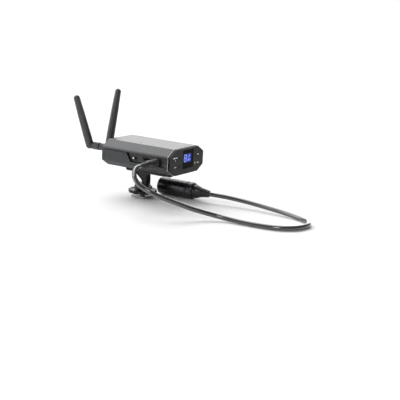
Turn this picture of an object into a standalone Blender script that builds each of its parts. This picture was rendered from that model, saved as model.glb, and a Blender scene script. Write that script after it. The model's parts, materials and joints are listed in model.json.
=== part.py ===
"""Camera-mount wireless receiver: housing, display front, two swivel antennas, shoe mount and output cable.

Sizes in this script are millimetres. The helpers turn them into metres. The origin is the middle of
the shoe foot's underside, +Z is up, and the display front faces -Y.
"""

import math

import bmesh
import bpy
from mathutils import Matrix, Vector

MM = 0.001
GAP = 0.3  # clearance between pieces that touch or slide

# Housing
BODY_WIDTH = 64.0
BODY_HEIGHT = 28.0
BODY_LENGTH = 88.0
BODY_FRONT = -55.5
BODY_BOTTOM = 34.0
CHAMFER_X = 11.0  # the eight-sided section: how far each long chamfer reaches across
CHAMFER_Z = 6.8  # and how far down
CORNER_RADIUS = 2.2
WALL = 1.8
BODY_REAR = BODY_FRONT + BODY_LENGTH
BODY_TOP = BODY_BOTTOM + BODY_HEIGHT
BODY_MID = BODY_BOTTOM + BODY_HEIGHT / 2

# Front panel and its trim ring
PANEL_THICKNESS = 2.2
TRIM_THICKNESS = 0.8
PANEL_BACK = BODY_FRONT + PANEL_THICKNESS
TRIM_FRONT = PANEL_BACK + GAP
SHELL_FRONT = TRIM_FRONT + TRIM_THICKNESS + GAP

# The seam between the shells steps down at the jack bay
SEAM_HIGH = BODY_MID + 4.8
SEAM_LOW = BODY_MID - 4.2
STEP_TOP = 0.3
STEP_BOTTOM = -5.4
BAY_FRONT = -45.5
BAY_DEPTH = 1.0

# Housing screws and their bosses
BOSS_PLACES = ((-18.0, -33.0), (18.0, -33.0), (-18.0, 16.0), (18.0, 16.0))
BOSS_RADIUS = 2.6
BOSS_FOOT = 36.4
BOSS_HOLE_RADIUS = 1.5
BOSS_HOLE_TOP = 46.0
SCREW_RECESS_RADIUS = 2.9
SCREW_RECESS_DEPTH = 1.0
SCREW_HOLE_RADIUS = 1.6
SCREW_SHANK_RADIUS = 1.1
SCREW_HEAD_RADIUS = 2.4
SCREW_LENGTH = 10.0
SCREW_SINK = 0.7  # from the housing's underside up to the seat of a screw's head

# Display window, buttons and lights on the front panel: x and z of each
WINDOW_SIZE = (20.0, 19.5)
WINDOW_CENTRE = (2.0, 49.75)
LCD_CENTRE = (1.5, 51.0)
BUTTON_X = -13.0
BUTTON_HEIGHTS = (52.0, 43.4)
BUTTON_RADIUS = 1.8
LIGHT_X = 16.2
LIGHT_HEIGHTS = (52.5, 43.7)
LIGHT_RADIUS = 0.95
LIGHT_BACK = -49.3
FRONT_PROUD = 0.3  # how far the buttons and lights stand out of the panel
WINDOW_THICKNESS = 1.6
LCD_SIZE = (19.0, 3.6, 13.0)
LCD_Y = -51.2
CONTACT_SIZE = (4.0, 1.6, 4.0)
CONTACT_Y = -50.1

# Controls and sockets in the side bays: y and z of each
SWITCH_CENTRE = (-10.4, 48.2)
SWITCH_SLOT = (6.4, 2.8)
SWITCH_BORDER = (8.0, 5.0)
SWITCH_REST_Y = -9.0
USB_CENTRE = (-25.2, 49.1)
USB_HOLE = (8.0, 3.2)
USB_BORDER = (9.2, 4.4)
JACK_CENTRE = (-40.1, 47.8)
JACK_BORE_RADIUS = 2.1
JACK_COLLAR_RADIUS = 3.1
PLATE_THICKNESS = 1.6
BORDER_DEPTH = 0.5

# Pieces behind the side bays: sizes, and how far from the middle each sits
KNOB_SIZE = (3.2, 2.8, 2.2)
KNOB_X = -30.3
CARRIAGE_SIZE = (1.0, 10.0, 4.2)
CARRIAGE_X = -28.6
SWITCH_CASE_SIZE = (4.2, 15.0, 6.0)
SWITCH_CASE_X = -25.6
USB_SIZE = (6.0, 7.4, 2.6)
USB_X = -28.0
USB_WALL = 0.3
USB_BACK_WALL = 1.0
JACK_SIZE = (11.4, 6.6, 6.2)
JACK_X = 22.9
JACK_MOUTH = 31.5
JACK_BORE_END = 17.8

# Boards, radio shield and battery
MAIN_BOARD_SIZE = (54.0, 73.0, 1.4)
MAIN_BOARD_CENTRE = (0.0, -9.5, 43.7)
DISPLAY_BOARD_SIZE = (50.0, 1.2, 18.0)
DISPLAY_BOARD_CENTRE = (0.0, -48.4, 48.0)
SHIELD_SIZE = (26.0, 22.0, 3.5)
SHIELD_CENTRE = (0.0, 13.0, 46.5)
BATTERY_SIZE = (26.0, 42.0, 6.0)
BATTERY_CENTRE = (0.0, -9.0, 39.4)
REAR_PANEL_THICKNESS = 1.8
REAR_PANEL_INSET = 1.0  # how far the rear panel sits inside the shells' rear edge
LEAD_RADIUS = 0.6
LEAD_ROUTE = (
    (9.0, 17.0, 49.2),
    (10.5, 19.5, 49.6),
    (14.0, 22.0, 50.4),
    (16.8, 24.4, 51.0),
    (17.5, 26.9, 51.0),
)

# Antennas
ANTENNA_X = 17.5
ANTENNA_Z = 51.0
SWIVEL_LEFT = -22.4  # degrees about +Y from upright
SWIVEL_RIGHT = 15.4
LEAN_BACK = 1.8
BARREL_START = 46.6
BARREL_LENGTH = 9.8
BARREL_RADIUS = 4.2
ELBOW_REACH = 14.6  # from the start of the barrel to the elbow pin
WHIP_RADIUS = 4.35
WHIP_TIP_RADIUS = 3.35
WHIP_LENGTH = 60.3
WHIP_LINE = 14.5  # height of the fine moulding line above the elbow
TONGUE_RADIUS = 3.4
TONGUE_WIDTH = 3.0
PIN_RADIUS = 0.8
PIN_HOLE_RADIUS = 1.1
PIN_HALF_LENGTH = 3.9
FLANGE_RADIUS = 5.6
FLANGE_THICKNESS = 1.5
BUSHING_NECK_RADIUS = 3.9
BUSHING_SHAFT_RADIUS = 2.8
BUSHING_HOLE_RADIUS = 3.2
BUSHING_INNER_END = 27.2

# Shoe mount
FOOT_SIDE = 18.0
FOOT_THICKNESS = 2.0
STUD_RADIUS = 3.1
STUD_TOP = 9.9
WASHER_RADIUS = 8.6
WASHER_BOTTOM = 4.1
WASHER_THICKNESS = 0.8
WHEEL_BOTTOM = 5.2
WHEEL_THICKNESS = 3.2
WHEEL_RADIUS = 15.5
WHEEL_LOBES = 12
COLUMN_BOTTOM = 9.0
COLUMN_TOP = 13.8
COLUMN_RADIUS = 9.2
SPIGOT_RADIUS = 4.3
SPIGOT_END = 11.3
DISC_RADIUS = 7.6
DISC_THICKNESS = 1.4
LOCK_SCREW_Z = 12.0
LOCK_SCREW_SEAT = -9.6
LOCK_SCREW_HOLE_RADIUS = 1.3

# Plate held by the clip under the housing, and the arm that carries it
ADAPTER_PLATE = (22.0, 43.5, 3.0)
ADAPTER_PLATE_CENTRE = (0.0, -9.25, 32.1)
ARM_WIDTH = 8.0

# Belt clip
CLIP_WIDTH = 22.0
CLIP_THICKNESS = 1.2
CLIP_SLOT = 10.4
CURL_CENTRE = (-41.2, 31.4)
CURL_RADIUS = 2.2
CLIP_SCREW_PLACES = ((-7.0, 23.0), (7.0, 23.0))
CLIP_HOLE_RADIUS = 1.7
CLIP_SCREW_TOP = 38.5
CLIP_SCREW_RADIUS = 1.2
CLIP_SCREW_HEAD_RADIUS = 2.7

# Output cable
CORD_RADIUS = 2.5
CORD_GAP = 0.6  # between the cord's slightly tilted end faces and the boots
PLUG_FACE_X = -31.8
PLUG_BOOT_RADIUS = 4.3
CORD_ROUTE = (
    (-62.0, -40.1, 47.8),
    (-65.5, -40.1, 47.7),
    (-70.5, -40.9, 46.9),
    (-76.1, -43.3, 44.4),
    (-80.4, -47.1, 40.4),
    (-82.5, -52.5, 36.0),
    (-82.4, -59.2, 32.5),
    (-80.2, -66.5, 29.1),
    (-75.5, -74.0, 25.1),
    (-68.5, -81.5, 21.1),
    (-60.0, -88.5, 16.9),
    (-50.6, -95.5, 12.4),
    (-41.1, -104.0, 8.4),
    (-33.6, -115.0, 5.3),
    (-29.0, -129.0, 3.2),
    (-27.6, -145.0, 2.6),
    (-26.5, -161.0, 2.6),
    (-23.1, -176.1, 2.6),
    (-14.7, -188.8, 2.6),
    (-1.9, -195.3, 2.6),
    (11.1, -195.7, 2.6),
    (22.4, -188.3, 2.6),
    (29.0, -175.5, 2.7),
    (32.3, -160.1, 3.6),
    (33.7, -142.6, 5.0),
    (34.5, -124.0, 6.3),
    (34.0, -106.0, 7.6),
    (31.5, -90.0, 8.9),
    (29.1, -79.0, 9.5),
    (28.1, -73.0, 9.6),
    (28.0, -69.0, 9.6),
)

# Three-pin connector on the far end of the cable
CONNECTOR_X = 28.0
CONNECTOR_Z = 9.6
CONNECTOR_RADIUS = 9.5
CONNECTOR_REAR = -49.5
CONNECTOR_MOUTH = -5.5
CONNECTOR_BORE = 8.3
CONNECTOR_CAVITY = 18.0  # depth of the open mouth
INSERT_THICKNESS = 4.0
PIN_CIRCLE = 4.2
CONTACT_PIN_RADIUS = 1.2
CONTACT_PIN_ANGLES = (30, 150, 270)

for leftover in list(bpy.data.objects):
    bpy.data.objects.remove(leftover, do_unlink=True)

PARTS = bpy.data.collections.new("wireless_receiver_unit")
CUTTERS = bpy.data.collections.new("cutters")
CUTTERS.hide_render = True
bpy.context.scene.collection.children.link(PARTS)
bpy.context.scene.collection.children.link(CUTTERS)


def material(name, colour, roughness, metallic=0.0):
    finish = bpy.data.materials.new(name)
    finish.use_nodes = True
    shader = finish.node_tree.nodes["Principled BSDF"]
    shader.inputs["Base Color"].default_value = (*colour, 1.0)
    shader.inputs["Roughness"].default_value = roughness
    shader.inputs["Metallic"].default_value = metallic
    finish.diffuse_color = (*colour, 1.0)
    return finish


SHELL_PAINT = material("shell_paint", (0.085, 0.09, 0.095), 0.38, 0.35)
PANEL_BLACK = material("panel_black", (0.022, 0.022, 0.024), 0.42)
TRIM_METAL = material("trim_metal", (0.62, 0.63, 0.65), 0.28, 1.0)
WINDOW_GLOSS = material("window_gloss", (0.01, 0.01, 0.012), 0.08)
LCD_BLUE = material("lcd_blue", (0.03, 0.09, 0.75), 0.2)
BUTTON_BLACK = material("button_black", (0.03, 0.03, 0.032), 0.5)
LIGHT_GREEN = material("light_green", (0.3, 0.75, 0.06), 0.2)
LIGHT_DARK = material("light_dark", (0.05, 0.012, 0.01), 0.2)
BAY_BLACK = material("bay_black", (0.035, 0.035, 0.038), 0.55)
KNOB_GREY = material("knob_grey", (0.6, 0.6, 0.6), 0.4)
STEEL = material("steel", (0.56, 0.56, 0.57), 0.3, 1.0)
NICKEL = material("nickel", (0.66, 0.65, 0.62), 0.22, 1.0)
CIRCUIT_GREEN = material("circuit_green", (0.02, 0.15, 0.06), 0.5)
SHIELD_TIN = material("shield_tin", (0.7, 0.71, 0.72), 0.3, 1.0)
BATTERY_WRAP = material("battery_wrap", (0.05, 0.16, 0.35), 0.45)
ANTENNA_RUBBER = material("antenna_rubber", (0.06, 0.062, 0.066), 0.6)
MOUNT_BLACK = material("mount_black", (0.02, 0.02, 0.022), 0.45, 0.2)
CLIP_BLACK = material("clip_black", (0.018, 0.018, 0.02), 0.35, 0.6)
CORD_BLACK = material("cord_black", (0.025, 0.026, 0.03), 0.42)
CONNECTOR_SHELL = material("connector_shell", (0.07, 0.07, 0.075), 0.25, 1.0)


def new_object(name, mesh, finish, place=(0, 0, 0), turn=(0, 0, 0), parent=None, cutter=False):
    """An object from a mesh. place is millimetres and turn is degrees, under the parent if there is one."""
    obj = bpy.data.objects.new(name, mesh)
    if finish is not None:
        mesh.materials.append(finish)
    obj.location = Vector(place) * MM
    obj.rotation_euler = [math.radians(angle) for angle in turn]
    obj.parent = parent
    (CUTTERS if cutter else PARTS).objects.link(obj)
    if cutter:
        obj.hide_render = True
        obj.display_type = "WIRE"
    else:
        mesh.shade_smooth()
        mesh.set_sharp_from_angle(angle=math.radians(35))
    return obj


def pivot(name, place, turn=(0, 0, 0), parent=None):
    """An empty on a joint's axis, for the pieces that move about it."""
    empty = bpy.data.objects.new(name, None)
    empty.empty_display_size = 5 * MM
    empty.location = Vector(place) * MM
    empty.rotation_euler = [math.radians(angle) for angle in turn]
    empty.parent = parent
    PARTS.objects.link(empty)
    return empty


def mesh_of(build, name):
    """The mesh that build(bm) leaves, in metres."""
    bm = bmesh.new()
    build(bm)
    bmesh.ops.recalc_face_normals(bm, faces=bm.faces)
    mesh = bpy.data.meshes.new(name)
    bm.to_mesh(mesh)
    bm.free()
    return mesh


def block(name, size, place, finish=None, bevel=0.0, **options):
    def build(bm):
        bmesh.ops.create_cube(bm, size=1.0)
        bmesh.ops.scale(bm, vec=Vector(size) * MM, verts=bm.verts)

    obj = new_object(name, mesh_of(build, name), finish, place, **options)
    if bevel:
        soften(obj, bevel)
    return obj


def soften(obj, width, segments=2):
    bevel = obj.modifiers.new("soft_edges", "BEVEL")
    bevel.width = width * MM
    bevel.segments = segments
    bevel.limit_method = "ANGLE"
    bevel.angle_limit = math.radians(40)
    return bevel


AXIS_TURNS = {"x": (0, 90, 0), "y": (-90, 0, 0), "z": (0, 0, 0)}


def rod(name, radius, low, high, axis, place, finish=None, sides=24, **options):
    """A plain cylinder from low to high along an axis through place."""
    turn = Matrix.Identity(4)
    if axis == "x":
        turn = Matrix.Rotation(math.radians(90), 4, "Y")
    if axis == "y":
        turn = Matrix.Rotation(math.radians(-90), 4, "X")

    def build(bm):
        size = {"radius1": radius * MM, "radius2": radius * MM, "depth": (high - low) * MM}
        bmesh.ops.create_cone(bm, cap_ends=True, segments=sides, **size)
        bmesh.ops.translate(bm, vec=(0, 0, (high + low) / 2 * MM), verts=bm.verts)
        bmesh.ops.transform(bm, matrix=turn, verts=bm.verts)

    return new_object(name, mesh_of(build, name), finish, place, **options)


def turned(name, profile, place, finish=None, axis="z", steps=24, **options):
    """A turned shape: (radius, height) points that run down the outer side, about an axis through place."""
    mesh = bpy.data.meshes.new(name)
    points = [(radius * MM, 0, height * MM) for radius, height in profile]
    edges = [(i, i + 1) for i in range(len(points) - 1)]
    mesh.from_pydata(points, edges, [])
    obj = new_object(name, mesh, finish, place, AXIS_TURNS[axis], **options)
    screw = obj.modifiers.new("turn", "SCREW")
    screw.axis = "Z"
    screw.steps = steps
    screw.render_steps = steps
    screw.use_merge_vertices = True
    screw.merge_threshold = 0.00001
    screw.use_smooth_shade = True
    return obj


def arc(centre, radius, start, end, steps):
    """Points on an arc, with angles in degrees."""
    turns = [math.radians(start + (end - start) * i / steps) for i in range(steps + 1)]
    return [(centre[0] + radius * math.cos(t), centre[1] + radius * math.sin(t)) for t in turns]


def circle(centre, radius, sides=20):
    return arc(centre, radius, 0, 360, sides)[:-1]


def rectangle(centre, size):
    half_u, half_v = size[0] / 2, size[1] / 2
    return [
        (centre[0] + u * half_u, centre[1] + v * half_v) for u, v in ((-1, -1), (1, -1), (1, 1), (-1, 1))
    ]


def rounded(outline, radius, steps=3):
    """The outline with each corner replaced by an arc."""
    result = []
    count = len(outline)
    for i, corner in enumerate(outline):
        here = Vector(corner)
        before = (Vector(outline[i - 1]) - here).normalized()
        after = (Vector(outline[(i + 1) % count]) - here).normalized()
        half = before.angle(after) / 2
        middle = here + (before + after).normalized() * radius / math.sin(half)
        first = here + before * radius / math.tan(half) - middle
        last = here + after * radius / math.tan(half) - middle
        sweep = first.angle_signed(last)
        for step in range(steps + 1):
            result.append(tuple(middle + Matrix.Rotation(-sweep * step / steps, 2) @ first))
    return result


SHEET_TURNS = {"x": (90, 0, 90), "y": (90, 0, 0), "z": (0, 0, 0)}


def sheet(name, outlines, thickness, place, finish=None, facing="z", **options):
    """A flat piece with holes, from 2D outlines; facing x takes (y, z) points, y (x, z) and z (x, y)."""
    curve = bpy.data.curves.new(name, "CURVE")
    curve.dimensions = "2D"
    curve.fill_mode = "BOTH"
    curve.extrude = thickness / 2 * MM
    for outline in outlines:
        spline = curve.splines.new("POLY")
        spline.points.add(len(outline) - 1)
        spline.use_cyclic_u = True
        for point, (u, v) in zip(spline.points, outline):
            point.co = (u * MM, v * MM, 0, 1)
    drawn = bpy.data.objects.new(name + "_outline", curve)
    PARTS.objects.link(drawn)
    bpy.context.view_layer.update()
    graph = bpy.context.evaluated_depsgraph_get()
    mesh = bpy.data.meshes.new_from_object(drawn.evaluated_get(graph))
    bpy.data.objects.remove(drawn)
    bpy.data.curves.remove(curve)
    mesh.materials.clear()
    bm = bmesh.new()
    bm.from_mesh(mesh)
    bmesh.ops.remove_doubles(bm, verts=bm.verts, dist=0.000002)
    bmesh.ops.recalc_face_normals(bm, faces=bm.faces)
    bm.to_mesh(mesh)
    bm.free()
    mesh.name = name
    return new_object(name, mesh, finish, place, SHEET_TURNS[facing], **options)


def combine(obj, other, operation):
    step = obj.modifiers.new(operation.lower(), "BOOLEAN")
    step.operation = operation
    step.solver = "EXACT"
    step.object = other


def cut(obj, *cutters):
    for cutter in cutters:
        combine(obj, cutter, "DIFFERENCE")


def join(obj, *others):
    for other in others:
        combine(obj, other, "UNION")


def section(inset=0.0, radius=0.0):
    """The housing's eight-sided section in x and z, moved in by inset."""
    half_x = BODY_WIDTH / 2 - inset
    half_z = BODY_HEIGHT / 2 - inset
    slope = math.hypot(CHAMFER_X, CHAMFER_Z)
    reach_x = CHAMFER_X - inset + inset * (slope - CHAMFER_X) / CHAMFER_Z
    reach_z = CHAMFER_Z - inset + inset * (slope - CHAMFER_Z) / CHAMFER_X
    corner = [(half_x, half_z - reach_z), (half_x - reach_x, half_z)]
    upper = corner + [(-x, z) for x, z in reversed(corner)]
    outline = upper + [(-x, -z) for x, z in upper]
    outline = [(x, BODY_MID + z) for x, z in outline]
    return rounded(outline, radius) if radius else outline


def housing_tube(name):
    length = BODY_REAR - SHELL_FRONT
    return sheet(
        name,
        [section(0, CORNER_RADIUS), section(WALL)],
        length,
        (0, SHELL_FRONT + length / 2, 0),
        SHELL_PAINT,
        facing="y",
    )


def side_cutter(name, outline):
    """A cutter right across the housing, from an outline in y and z."""
    return sheet(name, [outline], BODY_WIDTH + 20, (0, 0, 0), facing="x", cutter=True)


def upper_shell():
    shell = housing_tube("upper_shell")
    high, low = SEAM_HIGH + GAP, SEAM_LOW + GAP
    below = [
        (BODY_REAR + 5, high),
        (BAY_FRONT - GAP, high),
        (BAY_FRONT - GAP, low),
        (BODY_FRONT - 5, low),
        (BODY_FRONT - 5, BODY_BOTTOM - 5),
        (BODY_REAR + 5, BODY_BOTTOM - 5),
    ]
    cut(shell, side_cutter("cut_below_seam", below))
    for i, (x, y) in enumerate(BOSS_PLACES, 1):
        boss = rod(f"boss_{i}", BOSS_RADIUS, BOSS_FOOT, BODY_TOP - 1, "z", (x, y, 0), sides=16, cutter=True)
        join(shell, boss)
        ends = (BODY_BOTTOM - 4, BOSS_HOLE_TOP)
        cut(shell, rod(f"boss_hole_{i}", BOSS_HOLE_RADIUS, *ends, "z", (x, y, 0), sides=12, cutter=True))


def lower_shell():
    shell = housing_tube("lower_shell")
    high, low = SEAM_HIGH - GAP, SEAM_LOW - GAP
    above = [
        (BODY_REAR + 5, high),
        (BODY_REAR + 5, BODY_TOP + 5),
        (BODY_FRONT - 5, BODY_TOP + 5),
        (BODY_FRONT - 5, low),
        (STEP_BOTTOM + GAP, low),
        (STEP_TOP + GAP, high),
    ]
    cut(shell, side_cutter("cut_above_seam", above))
    through = (BODY_BOTTOM - 4, BODY_BOTTOM + 4)
    for i, (x, y) in enumerate(BOSS_PLACES, 1):
        ends = (BODY_BOTTOM - 4, BODY_BOTTOM + SCREW_RECESS_DEPTH)
        recess = rod(f"screw_recess_{i}", SCREW_RECESS_RADIUS, *ends, "z", (x, y, 0), sides=16, cutter=True)
        hole = rod(f"screw_hole_{i}", SCREW_HOLE_RADIUS, *through, "z", (x, y, 0), sides=12, cutter=True)
        cut(shell, recess, hole)
    for i, (x, y) in enumerate(CLIP_SCREW_PLACES, 1):
        hole = rod(f"clip_screw_hole_{i}", CLIP_HOLE_RADIUS, *through, "z", (x, y, 0), sides=12, cutter=True)
        cut(shell, hole)


def housing_screws():
    for i, (x, y) in enumerate(BOSS_PLACES, 1):
        top = BODY_BOTTOM + SCREW_LENGTH
        head = BODY_BOTTOM + SCREW_SINK
        shank, rim = SCREW_SHANK_RADIUS, SCREW_HEAD_RADIUS
        profile = [(0, top), (shank, top - 0.8), (shank, head), (rim, head)]
        profile += [(rim, head - 0.5), (rim - 0.5, head - 0.9), (0, head - 0.9)]
        turned(f"housing_screw_{i}", profile, (x, y, 0), STEEL, steps=14)


def front_panel():
    panel = [section(0.4, CORNER_RADIUS), rectangle(WINDOW_CENTRE, WINDOW_SIZE)]
    panel += [circle((BUTTON_X, z), BUTTON_RADIUS + GAP, 16) for z in BUTTON_HEIGHTS]
    panel += [circle((LIGHT_X, z), LIGHT_RADIUS + GAP, 12) for z in LIGHT_HEIGHTS]
    middle = BODY_FRONT + PANEL_THICKNESS / 2
    sheet("front_panel", panel, PANEL_THICKNESS, (0, middle, 0), PANEL_BLACK, facing="y")


def front_trim_ring():
    outlines = [section(-0.15, CORNER_RADIUS), section(2.6)]
    middle = TRIM_FRONT + TRIM_THICKNESS / 2
    sheet("front_trim_ring", outlines, TRIM_THICKNESS, (0, middle, 0), TRIM_METAL, facing="y")


def display():
    x, z = WINDOW_CENTRE
    size = (WINDOW_SIZE[0] - 2 * GAP, WINDOW_THICKNESS, WINDOW_SIZE[1] - 2 * GAP)
    block("display_window", size, (x, BODY_FRONT + 1.0, z), WINDOW_GLOSS)
    block("lcd_module", LCD_SIZE, (LCD_CENTRE[0], LCD_Y, LCD_CENTRE[1]), LCD_BLUE)
    block("display_board", DISPLAY_BOARD_SIZE, DISPLAY_BOARD_CENTRE, CIRCUIT_GREEN)


def button(name, z):
    """A round cap with a flange behind the panel. It slides along y."""
    front = BODY_FRONT - FRONT_PROUD
    origin = pivot(name + "_slide", (BUTTON_X, front, z))
    flange = PANEL_BACK + GAP - front
    flange_end = flange + 0.7
    profile = [(0, flange_end), (2.6, flange_end), (2.6, flange), (BUTTON_RADIUS, flange)]
    profile += [(BUTTON_RADIUS, 0.25), (BUTTON_RADIUS - 0.3, 0), (0, 0)]
    turned(name, profile, (0, 0, 0), BUTTON_BLACK, axis="y", steps=16, parent=origin)


def buttons_and_switches():
    for name, z in zip(("select_button", "pair_button"), BUTTON_HEIGHTS):
        button(name, z)
        block(name + "_contact", CONTACT_SIZE, (BUTTON_X, CONTACT_Y, z), BAY_BLACK)


def lights():
    for name, z, finish in zip(("peak_light", "status_light"), LIGHT_HEIGHTS, (LIGHT_DARK, LIGHT_GREEN)):
        front, back = BODY_FRONT - FRONT_PROUD, LIGHT_BACK
        profile = [(0, back), (LIGHT_RADIUS, back), (LIGHT_RADIUS, front + 0.5), (0.6, front + 0.1)]
        profile += [(0, front)]
        turned(name, profile, (LIGHT_X, 0, z), finish, axis="y", steps=12)


def bay_outline():
    """The side plate in y and z: it fills the bay up to the step in the lower shell."""
    return [
        (BAY_FRONT, SEAM_LOW),
        (STEP_BOTTOM - GAP, SEAM_LOW),
        (STEP_TOP - GAP, SEAM_HIGH),
        (BAY_FRONT, SEAM_HIGH),
    ]


def side_plate(name, side, holes):
    x = side * (BODY_WIDTH / 2 - BAY_DEPTH - PLATE_THICKNESS / 2)
    return sheet(name, [bay_outline()] + holes, PLATE_THICKNESS, (x, 0, 0), BAY_BLACK, facing="x")


def side_plates():
    jack_hole = circle(JACK_CENTRE, JACK_COLLAR_RADIUS + GAP, 20)
    slot = rectangle(SWITCH_CENTRE, SWITCH_SLOT)
    usb_hole = rectangle(USB_CENTRE, USB_HOLE)
    left = side_plate("jack_plate_left", -1, [jack_hole, slot, usb_hole])
    face = -(BODY_WIDTH / 2 - BAY_DEPTH)
    for name, centre, size in (
        ("switch_frame", SWITCH_CENTRE, SWITCH_BORDER),
        ("usb_frame", USB_CENTRE, USB_BORDER),
    ):
        cut(left, block(name, (2 * BORDER_DEPTH, *size), (face, *centre), cutter=True))
    side_plate("jack_plate_right", 1, [jack_hole])


def power_switch():
    """The knob and its hidden carriage slide along y in the plate's slot."""
    y, z = SWITCH_REST_Y, SWITCH_CENTRE[1]
    side = -BODY_WIDTH / 2
    origin = pivot("power_switch_slide", (side, y, z))
    knob = block("power_switch_knob", KNOB_SIZE, (KNOB_X - side, 0, 0), KNOB_GREY, parent=origin)
    carriage = block("knob_carriage", CARRIAGE_SIZE, (CARRIAGE_X - side, 0, 0), parent=origin, cutter=True)
    join(knob, carriage)
    block("power_switch_case", SWITCH_CASE_SIZE, (SWITCH_CASE_X, *SWITCH_CENTRE), BAY_BLACK)


def usb_socket():
    depth, width, height = USB_SIZE
    socket = block("usb_socket", USB_SIZE, (USB_X, *USB_CENTRE), NICKEL)
    mouth = (depth, width - 2 * USB_WALL, height - 2 * USB_WALL)
    cut(socket, block("usb_mouth", mouth, (USB_X - USB_BACK_WALL, *USB_CENTRE), cutter=True))


def jack(name, side):
    """A 3.5 mm socket: a moulded block with a round collar through the side plate."""
    y, z = JACK_CENTRE
    body = block(name, JACK_SIZE, (side * JACK_X, y, z), BAY_BLACK)
    ends = sorted((side * JACK_X, side * JACK_MOUTH))
    join(body, rod(name + "_collar", JACK_COLLAR_RADIUS, *ends, "x", (0, y, z), sides=20, cutter=True))
    ends = sorted((side * JACK_BORE_END, side * (JACK_MOUTH + 1.5)))
    cut(body, rod(name + "_bore", JACK_BORE_RADIUS, *ends, "x", (0, y, z), sides=16, cutter=True))


def main_board():
    x, y, z = MAIN_BOARD_CENTRE
    width, length, thickness = MAIN_BOARD_SIZE
    outlines = [rectangle((x, y), (width, length))]
    outlines += [circle(place, BOSS_RADIUS + 0.5, 12) for place in BOSS_PLACES]
    sheet("main_board", outlines, thickness, (0, 0, z), CIRCUIT_GREEN)


def inner_pieces():
    main_board()
    block("radio_shield", SHIELD_SIZE, SHIELD_CENTRE, SHIELD_TIN, bevel=0.5)
    block("battery_pack", BATTERY_SIZE, BATTERY_CENTRE, BATTERY_WRAP, bevel=0.8)


def rear_panel():
    outlines = [section(WALL + GAP)]
    outlines += [circle((side * ANTENNA_X, ANTENNA_Z), BUSHING_HOLE_RADIUS, 20) for side in (-1, 1)]
    middle = BODY_REAR - REAR_PANEL_INSET - REAR_PANEL_THICKNESS / 2
    sheet("rear_panel", outlines, REAR_PANEL_THICKNESS, (0, middle, 0), PANEL_BLACK, facing="y")


def antenna_bushing(name, side):
    """The fixed collar: a flange on the rear panel, a neck behind it and a shaft through the panel."""
    flange = BODY_REAR - REAR_PANEL_INSET + GAP
    end, neck, shaft = BARREL_START - GAP, BUSHING_NECK_RADIUS, BUSHING_SHAFT_RADIUS
    profile = [(0, end), (neck - 0.5, end), (neck, end - 0.5), (neck, flange + FLANGE_THICKNESS)]
    profile += [(FLANGE_RADIUS, flange + FLANGE_THICKNESS), (FLANGE_RADIUS, flange), (shaft, flange)]
    profile += [(shaft, BUSHING_INNER_END), (0, BUSHING_INNER_END)]
    turned(name, profile, (side * ANTENNA_X, 0, ANTENNA_Z), ANTENNA_RUBBER, axis="y", steps=24)


def antenna_lead(name, side):
    """A thin coaxial lead from the radio shield to the bushing."""
    tube(name, [(side * x, y, z) for x, y, z in LEAD_ROUTE], LEAD_RADIUS, SHIELD_TIN, 14)


def smooth_points(route, count):
    """Evenly spread points on a centripetal Catmull-Rom curve through the route."""
    knots = [Vector(point) for point in route]
    knots = [2 * knots[0] - knots[1]] + knots + [2 * knots[-1] - knots[-2]]
    dense = []
    for p0, p1, p2, p3 in zip(knots, knots[1:], knots[2:], knots[3:]):
        t1 = (p1 - p0).length ** 0.5
        t2 = t1 + (p2 - p1).length ** 0.5
        t3 = t2 + (p3 - p2).length ** 0.5
        for step in range(12):
            t = t1 + (t2 - t1) * step / 12
            a1 = p0 * (t1 - t) / t1 + p1 * t / t1
            a2 = p1 * (t2 - t) / (t2 - t1) + p2 * (t - t1) / (t2 - t1)
            a3 = p2 * (t3 - t) / (t3 - t2) + p3 * (t - t2) / (t3 - t2)
            b1 = a1 * (t2 - t) / t2 + a2 * t / t2
            b2 = a2 * (t3 - t) / (t3 - t1) + a3 * (t - t1) / (t3 - t1)
            dense.append(b1 * (t2 - t) / (t2 - t1) + b2 * (t - t1) / (t2 - t1))
    dense.append(knots[-2])
    travelled = [0.0]
    for before, after in zip(dense, dense[1:]):
        travelled.append(travelled[-1] + (after - before).length)
    spread = []
    reached = 0
    for i in range(count):
        goal = travelled[-1] * i / (count - 1)
        while reached < len(dense) - 2 and travelled[reached + 1] < goal:
            reached += 1
        share = (goal - travelled[reached]) / (travelled[reached + 1] - travelled[reached])
        spread.append(dense[reached].lerp(dense[reached + 1], min(share, 1.0)))
    return spread


def tube(name, route, radius, finish, count):
    curve = bpy.data.curves.new(name, "CURVE")
    curve.dimensions = "3D"
    curve.bevel_depth = radius * MM
    curve.bevel_resolution = 2
    curve.use_fill_caps = True
    spline = curve.splines.new("POLY")
    points = smooth_points(route, count)
    spline.points.add(len(points) - 1)
    for target, point in zip(spline.points, points):
        target.co = (*(point * MM), 1)
    curve.materials.append(finish)
    obj = bpy.data.objects.new(name, curve)
    PARTS.objects.link(obj)
    return obj


def antenna_barrel(name, parent):
    """The turning part: a round barrel with a tongue that carries the elbow pin."""
    length = BARREL_LENGTH
    profile = [(0, length), (3.8, length), (BARREL_RADIUS, length - 0.4)]
    profile += [(BARREL_RADIUS, 0.4), (3.8, 0), (0, 0)]
    barrel = turned(name, profile, (0, 0, 0), ANTENNA_RUBBER, axis="y", steps=28, parent=parent)
    end = arc((ELBOW_REACH, 0), TONGUE_RADIUS, -90, 90, 10)
    outline = [(length - 1.5, -TONGUE_RADIUS)] + end + [(length - 1.5, TONGUE_RADIUS)]
    options = {"facing": "x", "parent": parent, "cutter": True}
    tongue = sheet(name + "_tongue", [outline], TONGUE_WIDTH, (0, 0, 0), **options)
    place = (0, ELBOW_REACH, 0)
    hole = rod(name + "_hole", PIN_HOLE_RADIUS, -4, 4, "x", place, sides=12, parent=parent, cutter=True)
    join(barrel, tongue)
    cut(barrel, hole)


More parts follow.
